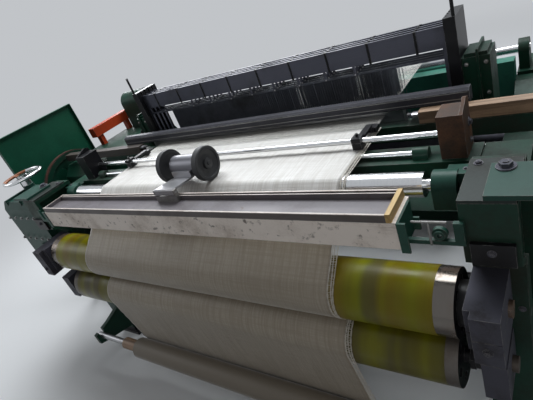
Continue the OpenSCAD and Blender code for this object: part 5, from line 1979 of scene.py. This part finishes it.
@dataclass
class Studio:
    """Floor, lamps, world and the camera at the photograph's viewing angle."""

    lens: float = 28.60
    place: Point = (1.205, -1.650, 1.580)
    backdrop: Colour = (0.86, 0.89, 0.93)
    seen: float = 0.62
    right: Point = (0.80256, 0.49261, -0.33650)
    up: Point = (0.00161, 0.56226, 0.82696)
    back: Point = (0.59657, -0.66423, 0.45046)

    def camera(self) -> None:
        """The camera, with its right, up and back directions as columns."""
        data = bpy.data.cameras.new("camera")
        data.lens, data.sensor_width = self.lens, 36.0
        data.clip_start, data.clip_end = 0.05, 100.0
        thing = bpy.data.objects.new("camera", data)
        turn = Matrix((self.right, self.up, self.back)).transposed()
        thing.matrix_world = Matrix.Translation(self.place) @ turn.to_4x4()
        bpy.context.scene.collection.objects.link(thing)
        bpy.context.scene.camera = thing

    @staticmethod
    def background_ray(graph: Graph) -> Socket:
        """1 for rays that show the background: seen directly, in metal or through glass.

        Args:
            graph: the material's or the world's graph.

        Returns:
            The mask.
        """
        path = graph.add("ShaderNodeLightPath").outputs
        mirrored = graph.math("MAXIMUM", path["Is Glossy Ray"], path["Is Transmission Ray"])
        return graph.math("MAXIMUM", path["Is Camera Ray"], mirrored)

    def floor(self) -> None:
        """A wide pale floor that fades into the background far from the loom."""
        finish = bpy.data.materials.new("pale_floor")
        finish.use_nodes = True
        g = Graph(finish.node_tree)
        shader = finish.node_tree.nodes["Principled BSDF"]
        seen = self.background_ray(g)
        pale = g.mix(g.noise(g.place(), 0.8, 3.0), (0.66, 0.67, 0.68), (0.72, 0.73, 0.74))
        g.tree.links.new(g.mix(seen, (0.22, 0.22, 0.22), pale), shader.inputs["Base Color"])
        shader.inputs["Roughness"].default_value = 0.75
        x, y, _ = g.parts(g.place())
        away = g.math("SQRT", g.plus(g.times(x, x), g.times(y, y)))
        glow = g.out("ShaderNodeEmission", {"Color": (*self.backdrop, 1.0), "Strength": self.seen})
        share = g.times(g.step(away, 1.2, 6.0), seen)
        both = g.out("ShaderNodeMixShader", {0: share, 1: shader.outputs[0], 2: glow})
        g.tree.links.new(both, finish.node_tree.nodes["Material Output"].inputs["Surface"])
        mesh = bpy.data.meshes.new("floor")
        mesh.from_pydata([(-40, -40, 0), (40, -40, 0), (40, 40, 0), (-40, 40, 0)], [], [(0, 1, 2, 3)])
        mesh.materials.append(finish)
        thing = bpy.data.objects.new("floor", mesh)
        bpy.context.scene.collection.objects.link(thing)

    @staticmethod
    def lamps() -> None:
        """Soft rectangular lamps: name, place, point that it faces, watts, size and linear colour."""
        cool = (0.95, 0.97, 1.0)
        for name, place, aim, power, size, colour in (
            ("overhead", (-0.3, 1.1, 3.9), (0.0, -0.3, 0.6), 215.0, (4.5, 1.8), (0.93, 0.97, 1.0)),
            ("back_window", (-2.8, 3.2, 2.3), (0.0, -0.4, 0.95), 130.0, (3.6, 1.5), cool),
            ("window", (-3.6, -2.2, 3.0), (0.0, -0.5, 0.7), 26.0, (2.0, 2.0), cool),
            ("fill", (2.6, -3.6, 2.0), (0.2, -0.6, 0.7), 16.0, (2.5, 1.5), (1.0, 0.96, 0.92)),
        ):
            data = bpy.data.lights.new(name, "AREA")
            data.shape, data.size, data.size_y = "RECTANGLE", *size
            data.energy, data.color = power, colour
            thing = bpy.data.objects.new(name, data)
            thing.location = place
            thing.rotation_euler = (Vector(aim) - Vector(place)).to_track_quat("-Z", "Y").to_euler()
            bpy.context.scene.collection.objects.link(thing)

    def world(self) -> None:
        """A plain grey world that shows as a pale background."""
        world = bpy.data.worlds.new("studio")
        bpy.context.scene.world = world
        world.use_nodes = True
        graph = Graph(world.node_tree)
        sky = world.node_tree.nodes["Background"]
        strength = graph.blend(self.background_ray(graph), 0.1, self.seen)
        graph.tree.links.new(strength, sky.inputs["Strength"])
        sky.inputs["Color"].default_value = (*self.backdrop, 1.0)

    def build(self) -> None:
        """Sets the stage."""
        self.camera()
        self.floor()
        self.world()
        self.lamps()
        bpy.context.scene.view_settings.view_transform = "Standard"


def main() -> None:
    """Builds the stage and the sub-assemblies in order."""
    logging.basicConfig(level=logging.INFO, format="%(message)s")
    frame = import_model()
    Studio().build()
    nodes, screws = Nodes(frame), Fasteners()
    warp = WarpRun()
    dressed = [kind(nodes, screws) for kind in (Frame, Drive, TakeUp, Breast, Counter)]
    woven = [Sley(nodes, screws, warp), Harness(nodes, screws, warp), warp, ClothRun()]
    for part in dressed + woven:
        before = set(bpy.data.objects.keys())
        part.build()
        made = [name for name in bpy.data.objects.keys() if name not in before]
        LOG.info("%s: %s", type(part).__name__, ", ".join(made) or "finishes only")


if __name__ == "__main__":
    main()
